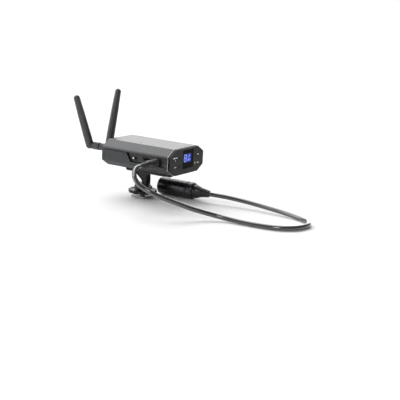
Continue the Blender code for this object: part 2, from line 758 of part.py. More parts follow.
def antenna_whip(name, parent):
    """The whip, with a forked root around the tongue and a fine moulding line above it."""
    tip = WHIP_LENGTH - WHIP_TIP_RADIUS
    profile = [(r, z + tip) for z, r in arc((0, 0), WHIP_TIP_RADIUS, 0, 90, 5)]
    profile[0] = (0, WHIP_LENGTH)
    groove = WHIP_RADIUS - 0.25
    profile += [(WHIP_RADIUS, WHIP_LINE + 0.3), (groove, WHIP_LINE + 0.1), (groove, WHIP_LINE - 0.2)]
    profile += [(WHIP_RADIUS, WHIP_LINE - 0.4)]
    profile += [(r, z) for z, r in arc((0, 0), WHIP_RADIUS, 90, 180, 6)]
    profile[-1] = (0, -WHIP_RADIUS)
    whip = turned(name, profile, (0, 0, 0), ANTENNA_RUBBER, steps=28, parent=parent)
    slot_top = TONGUE_RADIUS + 1.0
    slot = block(
        name + "_slot",
        (TONGUE_WIDTH + 2 * GAP, 12, slot_top + 6),
        (0, 0, slot_top - (slot_top + 6) / 2),
        parent=parent,
        cutter=True,
    )
    hole = rod(name + "_hole", PIN_HOLE_RADIUS, -6, 6, "x", (0, 0, 0), sides=12, parent=parent, cutter=True)
    cut(whip, slot, hole)


def antenna(side_name, side, swivel):
    antenna_bushing(f"antenna_bushing_{side_name}", side)
    antenna_lead(f"antenna_lead_{side_name}", side)
    barrel_axis = pivot(f"swivel_{side_name}", (side * ANTENNA_X, BARREL_START, ANTENNA_Z), (0, swivel, 0))
    elbow_axis = pivot(f"elbow_{side_name}", (0, ELBOW_REACH, 0), (-LEAN_BACK, 0, 0), barrel_axis)
    antenna_barrel(f"antenna_barrel_{side_name}", barrel_axis)
    antenna_whip(f"antenna_whip_{side_name}", elbow_axis)
    place = (0, ELBOW_REACH, 0)
    ends = (-PIN_HALF_LENGTH, PIN_HALF_LENGTH)
    rod(f"elbow_pin_{side_name}", PIN_RADIUS, *ends, "x", place, STEEL, sides=12, parent=barrel_axis)


def shoe_foot():
    foot = block("shoe_foot", (FOOT_SIDE, FOOT_SIDE, FOOT_THICKNESS), (0, 0, FOOT_THICKNESS / 2), STEEL)
    join(foot, rod("stud", STUD_RADIUS, 1, STUD_TOP, "z", (0, 0, 0), sides=24, cutter=True))


def pressure_washer():
    outlines = [circle((0, 0), WASHER_RADIUS, 28), circle((0, 0), STUD_RADIUS + GAP, 20)]
    place = (0, 0, WASHER_BOTTOM + WASHER_THICKNESS / 2)
    sheet("pressure_washer", outlines, WASHER_THICKNESS, place, MOUNT_BLACK)


def lobed_circle(radius, lobes, depth, steps):
    """A circle whose rim dips smoothly between flat-topped lobes."""
    outline = []
    for i in range(lobes * steps):
        angle = 2 * math.pi * i / (lobes * steps)
        dip = max(0.0, -math.cos(lobes * angle)) ** 0.5
        outline.append(((radius - depth * dip) * math.cos(angle), (radius - depth * dip) * math.sin(angle)))
    return outline


def lock_wheel():
    outlines = [lobed_circle(WHEEL_RADIUS, WHEEL_LOBES, 1.0, 8), circle((0, 0), STUD_RADIUS + GAP, 20)]
    place = (0, 0, WHEEL_BOTTOM + WHEEL_THICKNESS / 2)
    sheet("lock_wheel", outlines, WHEEL_THICKNESS, place, MOUNT_BLACK)


def swivel_column():
    top, bottom = COLUMN_TOP, COLUMN_BOTTOM
    profile = [(0, top), (8.4, top), (9.0, top - 0.6), (COLUMN_RADIUS + 0.1, bottom), (0, bottom)]
    column = turned("swivel_column", profile, (0, 0, 0), MOUNT_BLACK, steps=32)
    stud_hole = rod("stud_hole", STUD_RADIUS + GAP, bottom - 2, STUD_TOP + GAP, "z", (0, 0, 0), cutter=True)
    socket = rod("spigot_socket", SPIGOT_RADIUS + GAP, SPIGOT_END - GAP, top + 2, "z", (0, 0, 0), cutter=True)
    place = (0, 0, LOCK_SCREW_Z)
    screw_hole = rod("lock_screw_hole", LOCK_SCREW_HOLE_RADIUS, -12, -3, "y", place, sides=16, cutter=True)
    cut(column, stud_hole, socket, screw_hole)


def lock_screw():
    origin = pivot("lock_screw_axis", (0, LOCK_SCREW_SEAT, LOCK_SCREW_Z))
    profile = [(0, 4.9), (1.0, 4.6), (1.0, 0), (1.9, 0), (1.9, -1.7), (1.6, -2.0), (0, -2.0)]
    turned("lock_screw", profile, (0, 0, 0), STEEL, axis="y", steps=16, parent=origin)


def arm_outline():
    """The arm's side view in y and z: upright in front, with a slanting gusset behind."""
    low, high = COLUMN_TOP + 1, ADAPTER_PLATE_CENTRE[2] - 1
    return [(-7.0, low), (-1.4, low), (-1.4, 18.0), (0.6, 20.6), (12.5, 29.6), (12.5, high), (-7.0, high)]


def mount_adapter():
    """One moulding: the plate in the clip, the arm, and the spigot that turns in the column."""
    plate = block("mount_adapter", ADAPTER_PLATE, ADAPTER_PLATE_CENTRE, MOUNT_BLACK)
    arm = sheet("arm", [arm_outline()], ARM_WIDTH, (0, 0, 0), facing="x", cutter=True)
    disc_bottom = COLUMN_TOP + GAP
    disc_top = disc_bottom + DISC_THICKNESS
    disc = rod("arm_disc", DISC_RADIUS, disc_bottom, disc_top, "z", (0, 0, 0), sides=28, cutter=True)
    spigot_top = disc_bottom + DISC_THICKNESS / 2
    spigot = rod("spigot", SPIGOT_RADIUS, SPIGOT_END, spigot_top, "z", (0, 0, 0), sides=24, cutter=True)
    join(plate, arm, disc, spigot)


def clip_outline():
    """The clip's side view in y and z: a plate under the housing, a step down, and long springy prongs."""
    t = CLIP_THICKNESS
    top = BODY_BOTTOM - 0.4
    low = ADAPTER_PLATE_CENTRE[2] - ADAPTER_PLATE[2] / 2 - 0.4
    curl_y, curl_z = CURL_CENTRE
    return [
        (29.0, top),
        (15.6, top),
        (14.0, low),
        (-32.0, low),
        (curl_y, curl_z - 0.6),
        (curl_y, curl_z - 0.6 - t),
        (-32.0, low - t),
        (14.8, low - t),
        (16.4, top - t),
        (29.0, top - t),
    ]


def belt_clip():
    clip = sheet("belt_clip", [clip_outline()], CLIP_WIDTH, (0, 0, 0), CLIP_BLACK, facing="x")
    half = CLIP_WIDTH / 2
    curl = rod("clip_curl", CURL_RADIUS, -half, half, "x", (0, *CURL_CENTRE), sides=18, cutter=True)
    join(clip, curl)
    slot = block("clip_slot", (CLIP_SLOT, 60, 12), (0, -17, 30), cutter=True)
    cut(clip, slot)
    for i, (x, y) in enumerate(CLIP_SCREW_PLACES, 1):
        cut(clip, rod(f"clip_hole_{i}", CLIP_HOLE_RADIUS, 28, 38, "z", (x, y, 0), sides=12, cutter=True))


def clip_screws():
    seat = BODY_BOTTOM - 0.4 - CLIP_THICKNESS - GAP
    for i, (x, y) in enumerate(CLIP_SCREW_PLACES, 1):
        shank, rim = CLIP_SCREW_RADIUS, CLIP_SCREW_HEAD_RADIUS
        profile = [(0, CLIP_SCREW_TOP), (shank, CLIP_SCREW_TOP - 0.6), (shank, seat), (rim, seat)]
        profile += [(rim, seat - 0.6), (rim - 0.6, seat - 1.1), (0, seat - 1.1)]
        turned(f"clip_screw_{i}", profile, (x, y, 0), STEEL, steps=14)


def plug():
    """The 3.5 mm plug: a metal contact in the jack and a moulded boot with a tapering strain relief."""
    y, z = JACK_CENTRE
    face = PLUG_FACE_X
    contact = [(0, face + 13.7), (0.9, face + 13.2), (1.65, face + 11.9), (1.2, face + 10.6)]
    contact += [(1.7, face + 10.2), (1.7, face + GAP), (0, face + GAP)]
    turned("plug_contact", contact, (0, y, z), NICKEL, axis="x", steps=16)
    cord_start = CORD_ROUTE[0][0] + CORD_GAP
    boot = [(0, face), (3.9, face), (PLUG_BOOT_RADIUS, face - 0.5), (PLUG_BOOT_RADIUS, face - 16.5)]
    boot += [(3.95, face - 18.5), (3.8, face - 19.0), (3.1, cord_start), (0, cord_start)]
    turned("plug_boot", boot, (0, y, z), CORD_BLACK, axis="x", steps=24)


def output_cord():
    tube("output_cord", CORD_ROUTE, CORD_RADIUS, CORD_BLACK, 50)


def connector():
    """The three-pin connector on the cable's end, lying along y."""
    place = (CONNECTOR_X, 0, CONNECTOR_Z)
    cord_end = CORD_ROUTE[-1][1] + CORD_GAP
    rear, mouth = CONNECTOR_REAR, CONNECTOR_MOUTH
    boot = [(0, rear - GAP), (7.2, rear - GAP), (7.2, rear - 4), (5.3, rear - 9), (4.6, cord_end + 1.5)]
    boot += [(3.6, cord_end), (0, cord_end)]
    turned("connector_boot", boot, place, CORD_BLACK, axis="y", steps=24)
    radius = CONNECTOR_RADIUS
    floor = mouth - CONNECTOR_CAVITY
    bore = CONNECTOR_BORE
    shell = [(0, floor), (bore, floor), (bore, mouth), (radius, mouth), (radius, rear + 8)]
    shell += [(8.8, rear + 6.5), (8.8, rear + 1), (8.2, rear), (0, rear)]
    turned("connector_shell", shell, place, CONNECTOR_SHELL, axis="y", steps=32)
    insert_back = floor + GAP
    insert_front = insert_back + INSERT_THICKNESS
    rim = CONNECTOR_BORE - GAP
    profile = [(0, insert_front), (rim, insert_front), (rim, insert_back), (0, insert_back)]
    insert = turned("connector_insert", profile, place, BAY_BLACK, axis="y")
    ends = (insert_back + 2, mouth - 4.8)
    for i, angle in enumerate(CONTACT_PIN_ANGLES, 1):
        x = CONNECTOR_X + PIN_CIRCLE * math.cos(math.radians(angle))
        z = CONNECTOR_Z + PIN_CIRCLE * math.sin(math.radians(angle))
        pin = rod(f"connector_pin_{i}", CONTACT_PIN_RADIUS, *ends, "y", (x, 0, z), sides=12, cutter=True)
        join(insert, pin)


def build():
    upper_shell()
    lower_shell()
    housing_screws()
    front_panel()
    front_trim_ring()
    display()
    buttons_and_switches()
    lights()
    side_plates()
    power_switch()
    usb_socket()
    jack("output_jack", -1)
    jack("phones_jack", 1)
    inner_pieces()
    rear_panel()
    antenna("left", -1, SWIVEL_LEFT)
    antenna("right", 1, SWIVEL_RIGHT)
    shoe_foot()
    pressure_washer()
    lock_wheel()
    swivel_column()
    lock_screw()
    mount_adapter()
    belt_clip()
    clip_screws()
    plug()
    output_cord()
    connector()


build()
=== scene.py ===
"""Looks of the camera-mount wireless receiver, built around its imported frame.

Sizes are millimetres unless a name says otherwise, and the helpers turn them into metres. Every piece
is made in the frame's own coordinates: the origin is under the shoe foot, +Z is up and the display
faces -Y.
"""

import json
import math

import bmesh
import bpy
from mathutils import Matrix, Quaternion, Vector


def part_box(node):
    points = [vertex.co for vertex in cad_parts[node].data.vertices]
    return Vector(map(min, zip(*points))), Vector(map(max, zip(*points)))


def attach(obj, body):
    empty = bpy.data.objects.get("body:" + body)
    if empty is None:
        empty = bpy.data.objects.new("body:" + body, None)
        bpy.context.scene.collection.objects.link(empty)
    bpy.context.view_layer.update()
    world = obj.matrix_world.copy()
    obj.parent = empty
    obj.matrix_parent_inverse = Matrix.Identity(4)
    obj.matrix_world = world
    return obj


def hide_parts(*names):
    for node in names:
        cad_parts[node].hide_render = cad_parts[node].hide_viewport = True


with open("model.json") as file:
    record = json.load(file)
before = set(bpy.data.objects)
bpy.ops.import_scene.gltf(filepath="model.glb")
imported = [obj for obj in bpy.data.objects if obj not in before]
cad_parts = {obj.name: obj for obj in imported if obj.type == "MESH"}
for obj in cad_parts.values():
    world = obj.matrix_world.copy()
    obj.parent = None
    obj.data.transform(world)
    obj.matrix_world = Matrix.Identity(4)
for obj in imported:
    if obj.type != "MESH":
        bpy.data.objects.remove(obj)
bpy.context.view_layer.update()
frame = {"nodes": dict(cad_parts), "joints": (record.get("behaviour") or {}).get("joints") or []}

MM = 0.001
GAP = 0.3  # clearance between neighbouring pieces


def box_mm(node):
    """A CAD node's lowest and highest corners in millimetres."""
    low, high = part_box(node)
    return low / MM, high / MM


def centre_mm(node):
    low, high = box_mm(node)
    return (low + high) / 2


def joint_named(name):
    return next(joint for joint in frame["joints"] if joint["name"] == name)


# Camera: where it looks from and at, in degrees and millimetres
VIEW_AZIMUTH = -58.16
VIEW_ELEVATION = 13.25
VIEW_ROLL = 3.18
VIEW_CENTRE = (33.2, -53.7, -0.4)
VIEW_DISTANCE = 1000.0
LENS = 82.27

# Studio: the world's strength as light and as seen, the floor, and the lights with the direction towards
# each one's middle, its width in degrees and its strength
WORLD_LIGHT = 0.24
WORLD_SEEN = 1.0
FLOOR_HALF_METRES = 30.0
FLOOR_Z = -0.3
FLOOR_COLOUR = (0.93, 0.93, 0.93, 1)
SUNS = (
    ("overhead", (0.16, 0.51, 0.84), 62, 2.2),
    ("low_back", (0.84, 0.42, 0.34), 50, 1.15),
    ("left_back", (-0.50, 0.78, 0.36), 50, 1.4),
    ("left_strobe", (-0.78, -0.30, 0.55), 16, 0.55),
)

# Finishes: sizes of the worn and of the glossier patches, and how a rounded normal leans at an edge
WEAR_PATCH = 1.6
GLOSS_PATCH = 9.0
EDGE_LEAN = (0.86, 0.99)
COAT_ROUGHNESS = 0.1

# Meshes: angles in degrees and distances in metres
SHARP_ANGLE = 42
FLAT_ANGLE = 0.4
MERGE_METRES = 0.000002
DEGENERATE_METRES = 0.000001

# Housing section, as the frame has it
CHAMFER_X = 11.0
CHAMFER_Z = 6.8
CORNER_RADIUS = 2.2
WALL = 1.8
SHELL_LOW, SHELL_HIGH = box_mm("lower_shell")[0], box_mm("upper_shell")[1]
BODY_HALF_WIDTH = SHELL_HIGH.x
BODY_HALF_HEIGHT = (SHELL_HIGH.z - SHELL_LOW.z) / 2
BODY_MID = (SHELL_HIGH.z + SHELL_LOW.z) / 2
SHELL_FRONT = SHELL_LOW.y
SHELL_REAR = SHELL_HIGH.y
PAST = 5.0  # how far a large cutter runs on past the housing
RUN_ON = 2.0  # how far a drill runs on past each face of a piece
CASE_SCREWS = (1, 2, 3, 4)
CLIP_SCREWS = (1, 2)
SCREW_CROSS = ((0.5, 2.6), (2.6, 0.5))
DIMPLE_PLACE = (-10.9, -3.0, 0)
SIDES = ("left", "right")

# Seam between the shells and the jack bay, in y and z
PLATE_LOW, PLATE_HIGH = box_mm("jack_plate_left")
SEAM_HIGH = PLATE_HIGH.z
SEAM_LOW = PLATE_LOW.z
STEP_TOP = 0.3
STEP_BOTTOM = -5.4
BAY_FRONT = PLATE_LOW.y
BAY_FACE = -PLATE_LOW.x
BAY_BACK = -PLATE_HIGH.x
BAY_TROUGH = 0.95  # depth of the groove round the face plate, whose floor is painted near-black as shade

# Output cable
CORD_RADIUS = 2.5
CORD_ROUTE = (
    (-62.0, -40.1, 47.8),
    (-65.5, -40.1, 47.7),
    (-70.5, -40.9, 46.9),
    (-76.1, -43.3, 44.4),
    (-80.4, -47.1, 40.4),
    (-82.2, -52.5, 36.0),
    (-82.1, -59.2, 32.5),
    (-80.2, -66.5, 29.1),
    (-75.5, -74.0, 25.1),
    (-68.5, -81.5, 21.1),
    (-60.0, -88.5, 16.9),
    (-50.6, -95.5, 12.4),
    (-41.1, -104.0, 8.4),
    (-33.6, -115.0, 5.3),
    (-29.0, -129.0, 3.2),
    (-27.6, -145.0, 2.6),
    (-26.5, -161.0, 2.6),
    (-23.1, -176.1, 2.6),
    (-14.7, -188.8, 2.6),
    (-1.9, -195.2, 2.6),
    (11.1, -195.6, 2.6),
    (22.4, -188.3, 2.6),
    (29.0, -175.5, 2.7),
    (32.3, -160.1, 3.6),
    (33.7, -142.6, 5.0),
    (34.5, -124.0, 6.3),
    (34.0, -106.0, 7.6),
    (31.5, -90.0, 8.9),
    (29.1, -79.0, 9.5),
    (28.1, -73.0, 9.6),
    (28.0, -69.0, 9.6),
)
CORD_POINTS = 240
CORD_HIDDEN_END = 2.4  # how far each end runs on inside its boot

# Round connector
CONNECTOR_BORE = 8.3
PIN_CIRCLE = 4.2
PIN_RADIUS = 1.2
KNURL_RADIUS = 9.15
KNURL_DEPTH = 0.14
KNURL_FLUTES = 28

# Lit area of the display, as x and z ranges, and how far behind the window's face it sits
LCD_X = (-5.5, 9.3)
LCD_Z = (46.2, 55.4)
LCD_DEPTH = 0.45

# Front controls, and the bars printed beside them: control, place from its middle in x and z, length
BUTTONS = ("select_button", "pair_button")
BUTTON_RADIUS = 1.8
LIGHTS = ("peak_light", "status_light")
LIGHT_RADIUS = 0.95
LENS_RISE = 0.55
PRINTED_BARS = (
    ("select_button", -9.2, 1.3, 7.6),
    ("pair_button", -8.6, 0.2, 3.6),
    ("peak_light", 4.6, 0.2, 4.0),
    ("status_light", 5.6, 0.0, 3.8),
)

# Side bays, and the shallow line on each side of the lower shell
KNOB_SIZE = (2.8, 2.2)
RIDGE_SIZE = (1.5, 1.7)
CARRIAGE_SIZE = (9.8, 4.2)
BORDER_RISE = 0.22
BORDER_WIDTH = 0.42
JACK_BORE = 2.1
JACK_HOLE = 3.4
SIDE_LINE_CENTRE = (19.0, 46.6)
SIDE_LINE_SIZE = (22.0, 0.5)

# Antennas
BARREL_RADIUS = 4.2
BARREL_LENGTH = 9.8
TONGUE_RADIUS = 3.4
TONGUE_WIDTH = 3.0
WHIP_RADIUS = 4.35
WHIP_TIP_RADIUS = 3.35
WHIP_LENGTH = 60.3
WHIP_LINE = 14.5  # height of the moulding line above the elbow
PIN_HALF_LENGTH = 3.9

# Shoe mount and belt clip
FOOT_THICKNESS = 2.0
THREAD_PITCH = 1.27
THREAD_CREST = 3.1
THREAD_ROOT = 2.55
THREAD_HOLE = 3.4
WHEEL_RADIUS = 15.5
WHEEL_LOBES = 12
WHEEL_STEPS = 14  # outline points for each lobe
COLUMN_SOCKET = 4.6
ARM_HALF_WIDTH = 4.0
CLIP_THICKNESS = 1.2
CURL_CENTRE = (-41.2, 31.4)
CURL_RADIUS = 2.2


# ---- camera, light and floor


def link(obj):
    bpy.context.scene.collection.objects.link(obj)
    return obj


def make_camera():
    data = bpy.data.cameras.new("camera")
    data.lens = LENS
    data.sensor_width = 36
    camera = link(bpy.data.objects.new("camera", data))
    azimuth, elevation = math.radians(VIEW_AZIMUTH), math.radians(VIEW_ELEVATION)
    flat = math.cos(elevation)
    back = Vector((math.sin(azimuth) * flat, -math.cos(azimuth) * flat, math.sin(elevation)))
    camera.location = (Vector(VIEW_CENTRE) + back * VIEW_DISTANCE) * MM
    camera.rotation_mode = "QUATERNION"
    roll = Quaternion((0, 0, 1), math.radians(VIEW_ROLL))
    camera.rotation_quaternion = (-back).to_track_quat("-Z", "Y") @ roll
    bpy.context.scene.camera = camera


def soft_sun(name, towards, angle, strength):
    """A distant light as wide as angle in degrees, whose middle lies towards the given direction."""
    data = bpy.data.lights.new(name, "SUN")
    data.angle = math.radians(angle)
    data.energy = strength
    light = link(bpy.data.objects.new(name, data))
    light.rotation_mode = "QUATERNION"
    light.rotation_quaternion = (-Vector(towards)).to_track_quat("-Z", "Y")


def make_studio():
    """An even white floor, broad soft lights above, behind and to the left, and a smaller one at the left."""
    bpy.context.scene.view_settings.view_transform = "Standard"
    world = bpy.data.worlds.new("studio")
    bpy.context.scene.world = world
    world.use_nodes = True
    tree = world.node_tree
    seen = add_node(tree, "LightPath", "Is Camera Ray", {})
    strength = range_node(tree, seen, WORLD_LIGHT, WORLD_SEEN, 0.0, 1.0)
    feed(tree, tree.nodes["Background"], {"Color": (1, 1, 1, 1), "Strength": strength})
    for sun in SUNS:
        soft_sun(*sun)

    bm = bmesh.new()
    bmesh.ops.create_grid(bm, x_segments=1, y_segments=1, size=FLOOR_HALF_METRES)
    mesh = bpy.data.meshes.new("floor")
    bm.to_mesh(mesh)
    bm.free()
    floor = link(bpy.data.objects.new("floor", mesh))
    floor.location = (0, 0, FLOOR_Z * MM)
    paper = bpy.data.materials.new("paper")
    paper.use_nodes = True
    shader = paper.node_tree.nodes["Principled BSDF"]
    feed(paper.node_tree, shader, {"Base Color": FLOOR_COLOUR, "Roughness": 1.0})
    mesh.materials.append(paper)


# ---- materials


def feed(tree, node, inputs):
    """Sets a shader node's inputs, given by name or number, or links them where the value is a socket."""
    for key, value in inputs.items():
        if isinstance(value, bpy.types.NodeSocket):
            tree.links.new(value, node.inputs[key])
        else:
            node.inputs[key].default_value = value


def add_node(tree, kind, output, inputs, **settings):
    """Adds a shader node and returns one of its outputs."""
    node = tree.nodes.new("ShaderNode" + kind)
    for setting, value in settings.items():
        setattr(node, setting, value)
    feed(tree, node, inputs)
    return node.outputs[output]


def noise_node(tree, coordinates, size_mm, detail=3.0, stretch=(1, 1, 1)):
    """Noise with features of about size_mm, longer along an axis whose stretch is under 1."""
    place = add_node(tree, "Mapping", "Vector", {"Vector": coordinates, "Scale": stretch})
    return add_node(tree, "TexNoise", "Fac", {"Vector": place, "Scale": 1 / (size_mm * MM), "Detail": detail})


def ramp_node(tree, value, low_colour, high_colour):
    ramp = tree.nodes.new("ShaderNodeValToRGB")
    ends = ramp.color_ramp.elements
    ends[0].position, ends[0].color = 0.35, (*low_colour, 1)
    ends[1].position, ends[1].color = 0.65, (*high_colour, 1)
    feed(tree, ramp, {"Fac": value})
    return ramp.outputs["Color"]


def range_node(tree, value, low, high, from_low=0.3, from_high=0.7):
    limits = {"From Min": from_low, "From Max": from_high, "To Min": low, "To Max": high}
    return add_node(tree, "MapRange", "Result", {"Value": value, **limits})


def edge_mask(tree, radius_mm):
    """1 on convex and concave edges and 0 on flat faces, from how far a rounded normal leans."""
    rounded_normal = add_node(tree, "Bevel", "Normal", {"Radius": radius_mm * MM}, samples=6)
    normal = add_node(tree, "NewGeometry", "Normal", {})
    lean = add_node(tree, "VectorMath", "Value", {0: rounded_normal, 1: normal}, operation="DOT_PRODUCT")
    return range_node(tree, lean, 1.0, 0.0, *EDGE_LEAN)


def worn_edges(tree, coordinates, tone, wear, radius_mm):
    """The tone with a lighter colour along broken stretches of the edges."""
    broken = range_node(tree, noise_node(tree, coordinates, WEAR_PATCH, 5.0), 0.0, 1.0, 0.42, 0.6)
    amount = add_node(tree, "Math", "Value", {0: edge_mask(tree, radius_mm), 1: broken}, operation="MULTIPLY")
    return add_node(tree, "Mix", "Result", {"Factor": amount, "A": tone, "B": (*wear, 1)}, data_type="RGBA")


def surface(
    name, colour, roughness, metallic=0.0, specular=0.5, mottle=0.12, mottle_size=5.0, grain=0.012,
    grain_size=0.3, smudge=0.06, stretch=(1, 1, 1), coat=0.0, wear=None, wear_radius=0.35, glow=0.0,
):
    """A finish of mottled colour, uneven gloss and fine bump, with worn edges where wear is a colour."""
    made = bpy.data.materials.new(name)
    made.use_nodes = True
    tree = made.node_tree
    shader = tree.nodes["Principled BSDF"]
    coordinates = add_node(tree, "TexCoord", "Object", {})
    darker = [channel * (1 - mottle) for channel in colour]
    lighter = [min(1.0, channel * (1 + mottle)) for channel in colour]
    tone = ramp_node(tree, noise_node(tree, coordinates, mottle_size), darker, lighter)
    if wear is not None:
        tone = worn_edges(tree, coordinates, tone, wear, wear_radius)
    low, high = max(0.02, roughness - smudge), min(1.0, roughness + smudge)
    bumps = {"Height": noise_node(tree, coordinates, grain_size, 2.0, stretch), "Distance": grain * MM}
    feed(tree, shader, {
        "Base Color": tone,
        "Metallic": metallic,
        "Roughness": range_node(tree, noise_node(tree, coordinates, GLOSS_PATCH, 2.0), low, high),
        "Specular IOR Level": specular,
        "Coat Weight": coat,
        "Coat Roughness": COAT_ROUGHNESS,
        "Normal": add_node(tree, "Bump", "Normal", {**bumps, "Strength": 1.0}),
    })
    if glow:
        feed(tree, shader, {"Emission Color": tone, "Emission Strength": glow})
    return made


FINISH_SETTINGS = {
    "shell_paint": dict(
        colour=(0.040, 0.042, 0.045), roughness=0.34, mottle=0.1, grain=0.008, grain_size=0.22, smudge=0.02,
        wear=(0.11, 0.112, 0.118),
    ),
    # A copy of the shell paint with low gloss and weak reflection, so that the lower shell and its under
    # chamfer read dark: painted shade in place of what the white floor reflects there. Its base is lighter
    # only to keep the side's tone.
    "lower_shell_shaded_paint": dict(
        colour=(0.058, 0.060, 0.064), roughness=0.6, specular=0.2, mottle=0.08, grain=0.008, grain_size=0.22,
        wear=(0.13, 0.132, 0.138),
    ),
    "panel_black": dict(colour=(0.008, 0.008, 0.0095), roughness=0.42, specular=0.22, grain=0.006),
    "trim_metal": dict(
        colour=(0.42, 0.425, 0.43), roughness=0.3, metallic=1.0, mottle=0.05, grain=0.004,
        stretch=(0.1, 1, 0.1),
    ),
    "window_gloss": dict(
        colour=(0.0025, 0.0025, 0.0035), roughness=0.06, specular=0.03, grain=0.0006, grain_size=4.0,
        smudge=0.03,
    ),
    "lcd_blue": dict(
        colour=(0.02, 0.026, 0.15), roughness=0.3, specular=0.1, grain=0.002, mottle=0.3, mottle_size=7.0,
        glow=1.0,
    ),
    "lcd_mark": dict(
        colour=(0.15, 0.23, 0.74), roughness=0.3, specular=0.1, grain=0.001, mottle=0.04, glow=0.9
    ),
    "button_black": dict(
        colour=(0.012, 0.012, 0.013), roughness=0.45, specular=0.3, grain=0.01, grain_size=0.15
    ),
    "light_green": dict(colour=(0.2, 0.32, 0.06), roughness=0.2, grain=0.001, glow=1.0),
    "light_dark": dict(colour=(0.02, 0.006, 0.005), roughness=0.15, specular=0.3, grain=0.001, coat=0.3),
    "bay_black": dict(
        colour=(0.024, 0.024, 0.026), roughness=0.45, specular=0.4, grain=0.015, grain_size=0.25
    ),
    # Near-black, almost unreflecting finish for the seam tongue, bay floor, socket tongue and jack stop. It
    # is darker than any real black here, so it paints the shade that falls in these recesses.
    "recess_shade_black": dict(colour=(0.003, 0.003, 0.0035), roughness=0.8, specular=0.05, grain=0.02),
    "knob_grey": dict(colour=(0.82, 0.82, 0.82), roughness=0.38, grain=0.01, mottle=0.05),
    "knob_base": dict(colour=(0.06, 0.06, 0.064), roughness=0.45, grain=0.01),
    "steel": dict(
        colour=(0.36, 0.36, 0.37), roughness=0.32, metallic=1.0, mottle=0.08, grain=0.006, grain_size=0.12,
        stretch=(1, 1, 0.08),
    ),
    "nickel": dict(colour=(0.6, 0.59, 0.56), roughness=0.22, metallic=1.0, mottle=0.05, grain=0.003),
    "circuit_green": dict(colour=(0.02, 0.15, 0.06), roughness=0.45, grain=0.02, mottle=0.3, mottle_size=2.0),
    "shield_tin": dict(colour=(0.6, 0.61, 0.62), roughness=0.3, metallic=1.0, mottle=0.08, grain=0.01),
    "battery_wrap": dict(colour=(0.05, 0.16, 0.35), roughness=0.3, grain=0.01, coat=0.4),
    "antenna_rubber": dict(
        colour=(0.046, 0.047, 0.05), roughness=0.42, specular=0.45, grain=0.012, grain_size=0.2, mottle=0.1
    ),
    "mount_black": dict(
        colour=(0.007, 0.007, 0.008), roughness=0.4, specular=0.3, grain=0.012, grain_size=0.25,
        wear=(0.035, 0.035, 0.037),
    ),
    "clip_black": dict(
        colour=(0.007, 0.007, 0.0075), roughness=0.28, specular=0.4, grain=0.004, wear=(0.12, 0.12, 0.12),
        wear_radius=0.2,
    ),
    "cord_black": dict(
        colour=(0.009, 0.0095, 0.011), roughness=0.2, specular=1.0, smudge=0.03, grain=0.003, coat=1.0
    ),
    "boot_black": dict(colour=(0.011, 0.0115, 0.013), roughness=0.36, specular=0.6, grain=0.01),
    "connector_shell": dict(
        colour=(0.06, 0.06, 0.064), roughness=0.28, metallic=0.9, mottle=0.08, grain=0.006,
        wear=(0.25, 0.25, 0.25),
    ),
    "print_grey": dict(colour=(0.8, 0.8, 0.8), roughness=0.5, grain=0.002, mottle=0.06, mottle_size=0.6),
}

# ---- outlines


def arc(centre, radius, start, end, steps):
    """Points on an arc, with angles in degrees."""
    turns = [math.radians(start + (end - start) * i / steps) for i in range(steps + 1)]
    return [(centre[0] + radius * math.cos(t), centre[1] + radius * math.sin(t)) for t in turns]


def circle(centre, radius, sides=32):
    return arc(centre, radius, 0, 360, sides)[:-1]


def rectangle(centre, size):
    half_u, half_v = size[0] / 2, size[1] / 2
    signs = ((-1, -1), (1, -1), (1, 1), (-1, 1))
    return [(centre[0] + u * half_u, centre[1] + v * half_v) for u, v in signs]


def rounded(outline, radius, steps=5):
    """The outline with each corner replaced by an arc. radius is one number or one for each corner."""
    radii = radius if isinstance(radius, (list, tuple)) else [radius] * len(outline)
    result = []
    for i, corner in enumerate(outline):
        if radii[i] == 0:
            result.append(tuple(corner))
            continue
        here = Vector(corner)
        before = (Vector(outline[i - 1]) - here).normalized()
        after = (Vector(outline[(i + 1) % len(outline)]) - here).normalized()
        half = before.angle(after) / 2
        middle = here + (before + after).normalized() * radii[i] / math.sin(half)
        first = here + before * radii[i] / math.tan(half) - middle
        last = here + after * radii[i] / math.tan(half) - middle
        sweep = first.angle_signed(last)
        for step in range(steps + 1):
            result.append(tuple(middle + Matrix.Rotation(-sweep * step / steps, 2) @ first))
    return result


def slab(centre, size, radius):
    """A rectangle with round corners."""
    return rounded(rectangle(centre, size), radius)


def housing_section(inset=0.0, radius=CORNER_RADIUS):
    """The housing's eight-sided section in x and z, moved in by inset."""
    half_x = BODY_HALF_WIDTH - inset
    half_z = BODY_HALF_HEIGHT - inset
    slope = math.hypot(CHAMFER_X, CHAMFER_Z)
    reach_x = CHAMFER_X - inset + inset * (slope - CHAMFER_X) / CHAMFER_Z
    reach_z = CHAMFER_Z - inset + inset * (slope - CHAMFER_Z) / CHAMFER_X
    corner = [(half_x, half_z - reach_z), (half_x - reach_x, half_z)]
    upper = corner + [(-x, z) for x, z in reversed(corner)]
    outline = upper + [(-x, -z) for x, z in upper]
    outline = [(x, BODY_MID + z) for x, z in outline]
    return rounded(outline, radius, 7) if radius else outline


def along(start, *points):
    """Profile points whose places are measured from start."""
    return [(radius, start + step) for radius, step in points]


def tapered(start, start_radius, end, end_radius):
    """The radius at each place along a taper."""
    return lambda place: start_radius + (end_radius - start_radius) * (place - start) / (end - start)


def ribbed(radius_at, start, end, ribs, depth, share=0.55):
    """Profile points from start to end along a taper, with square-cut grooves between ribs."""
    points = []
    pitch = (end - start) / ribs
    for i in range(ribs):
        a = start + pitch * i
        b = a + pitch * share
        c = a + pitch
        points += [(radius_at(a), a), (radius_at(b), b)]
        if i < ribs - 1:
            points += [(radius_at(b) - depth, b + pitch * 0.06), (radius_at(c) - depth, c - pitch * 0.06)]
    return points


def tube(inner, outer, start, end):
    """The profile of a plain ring, or of a rod where inner is 0."""
    return [(inner, start), (outer, start), (outer, end), (inner, end)]


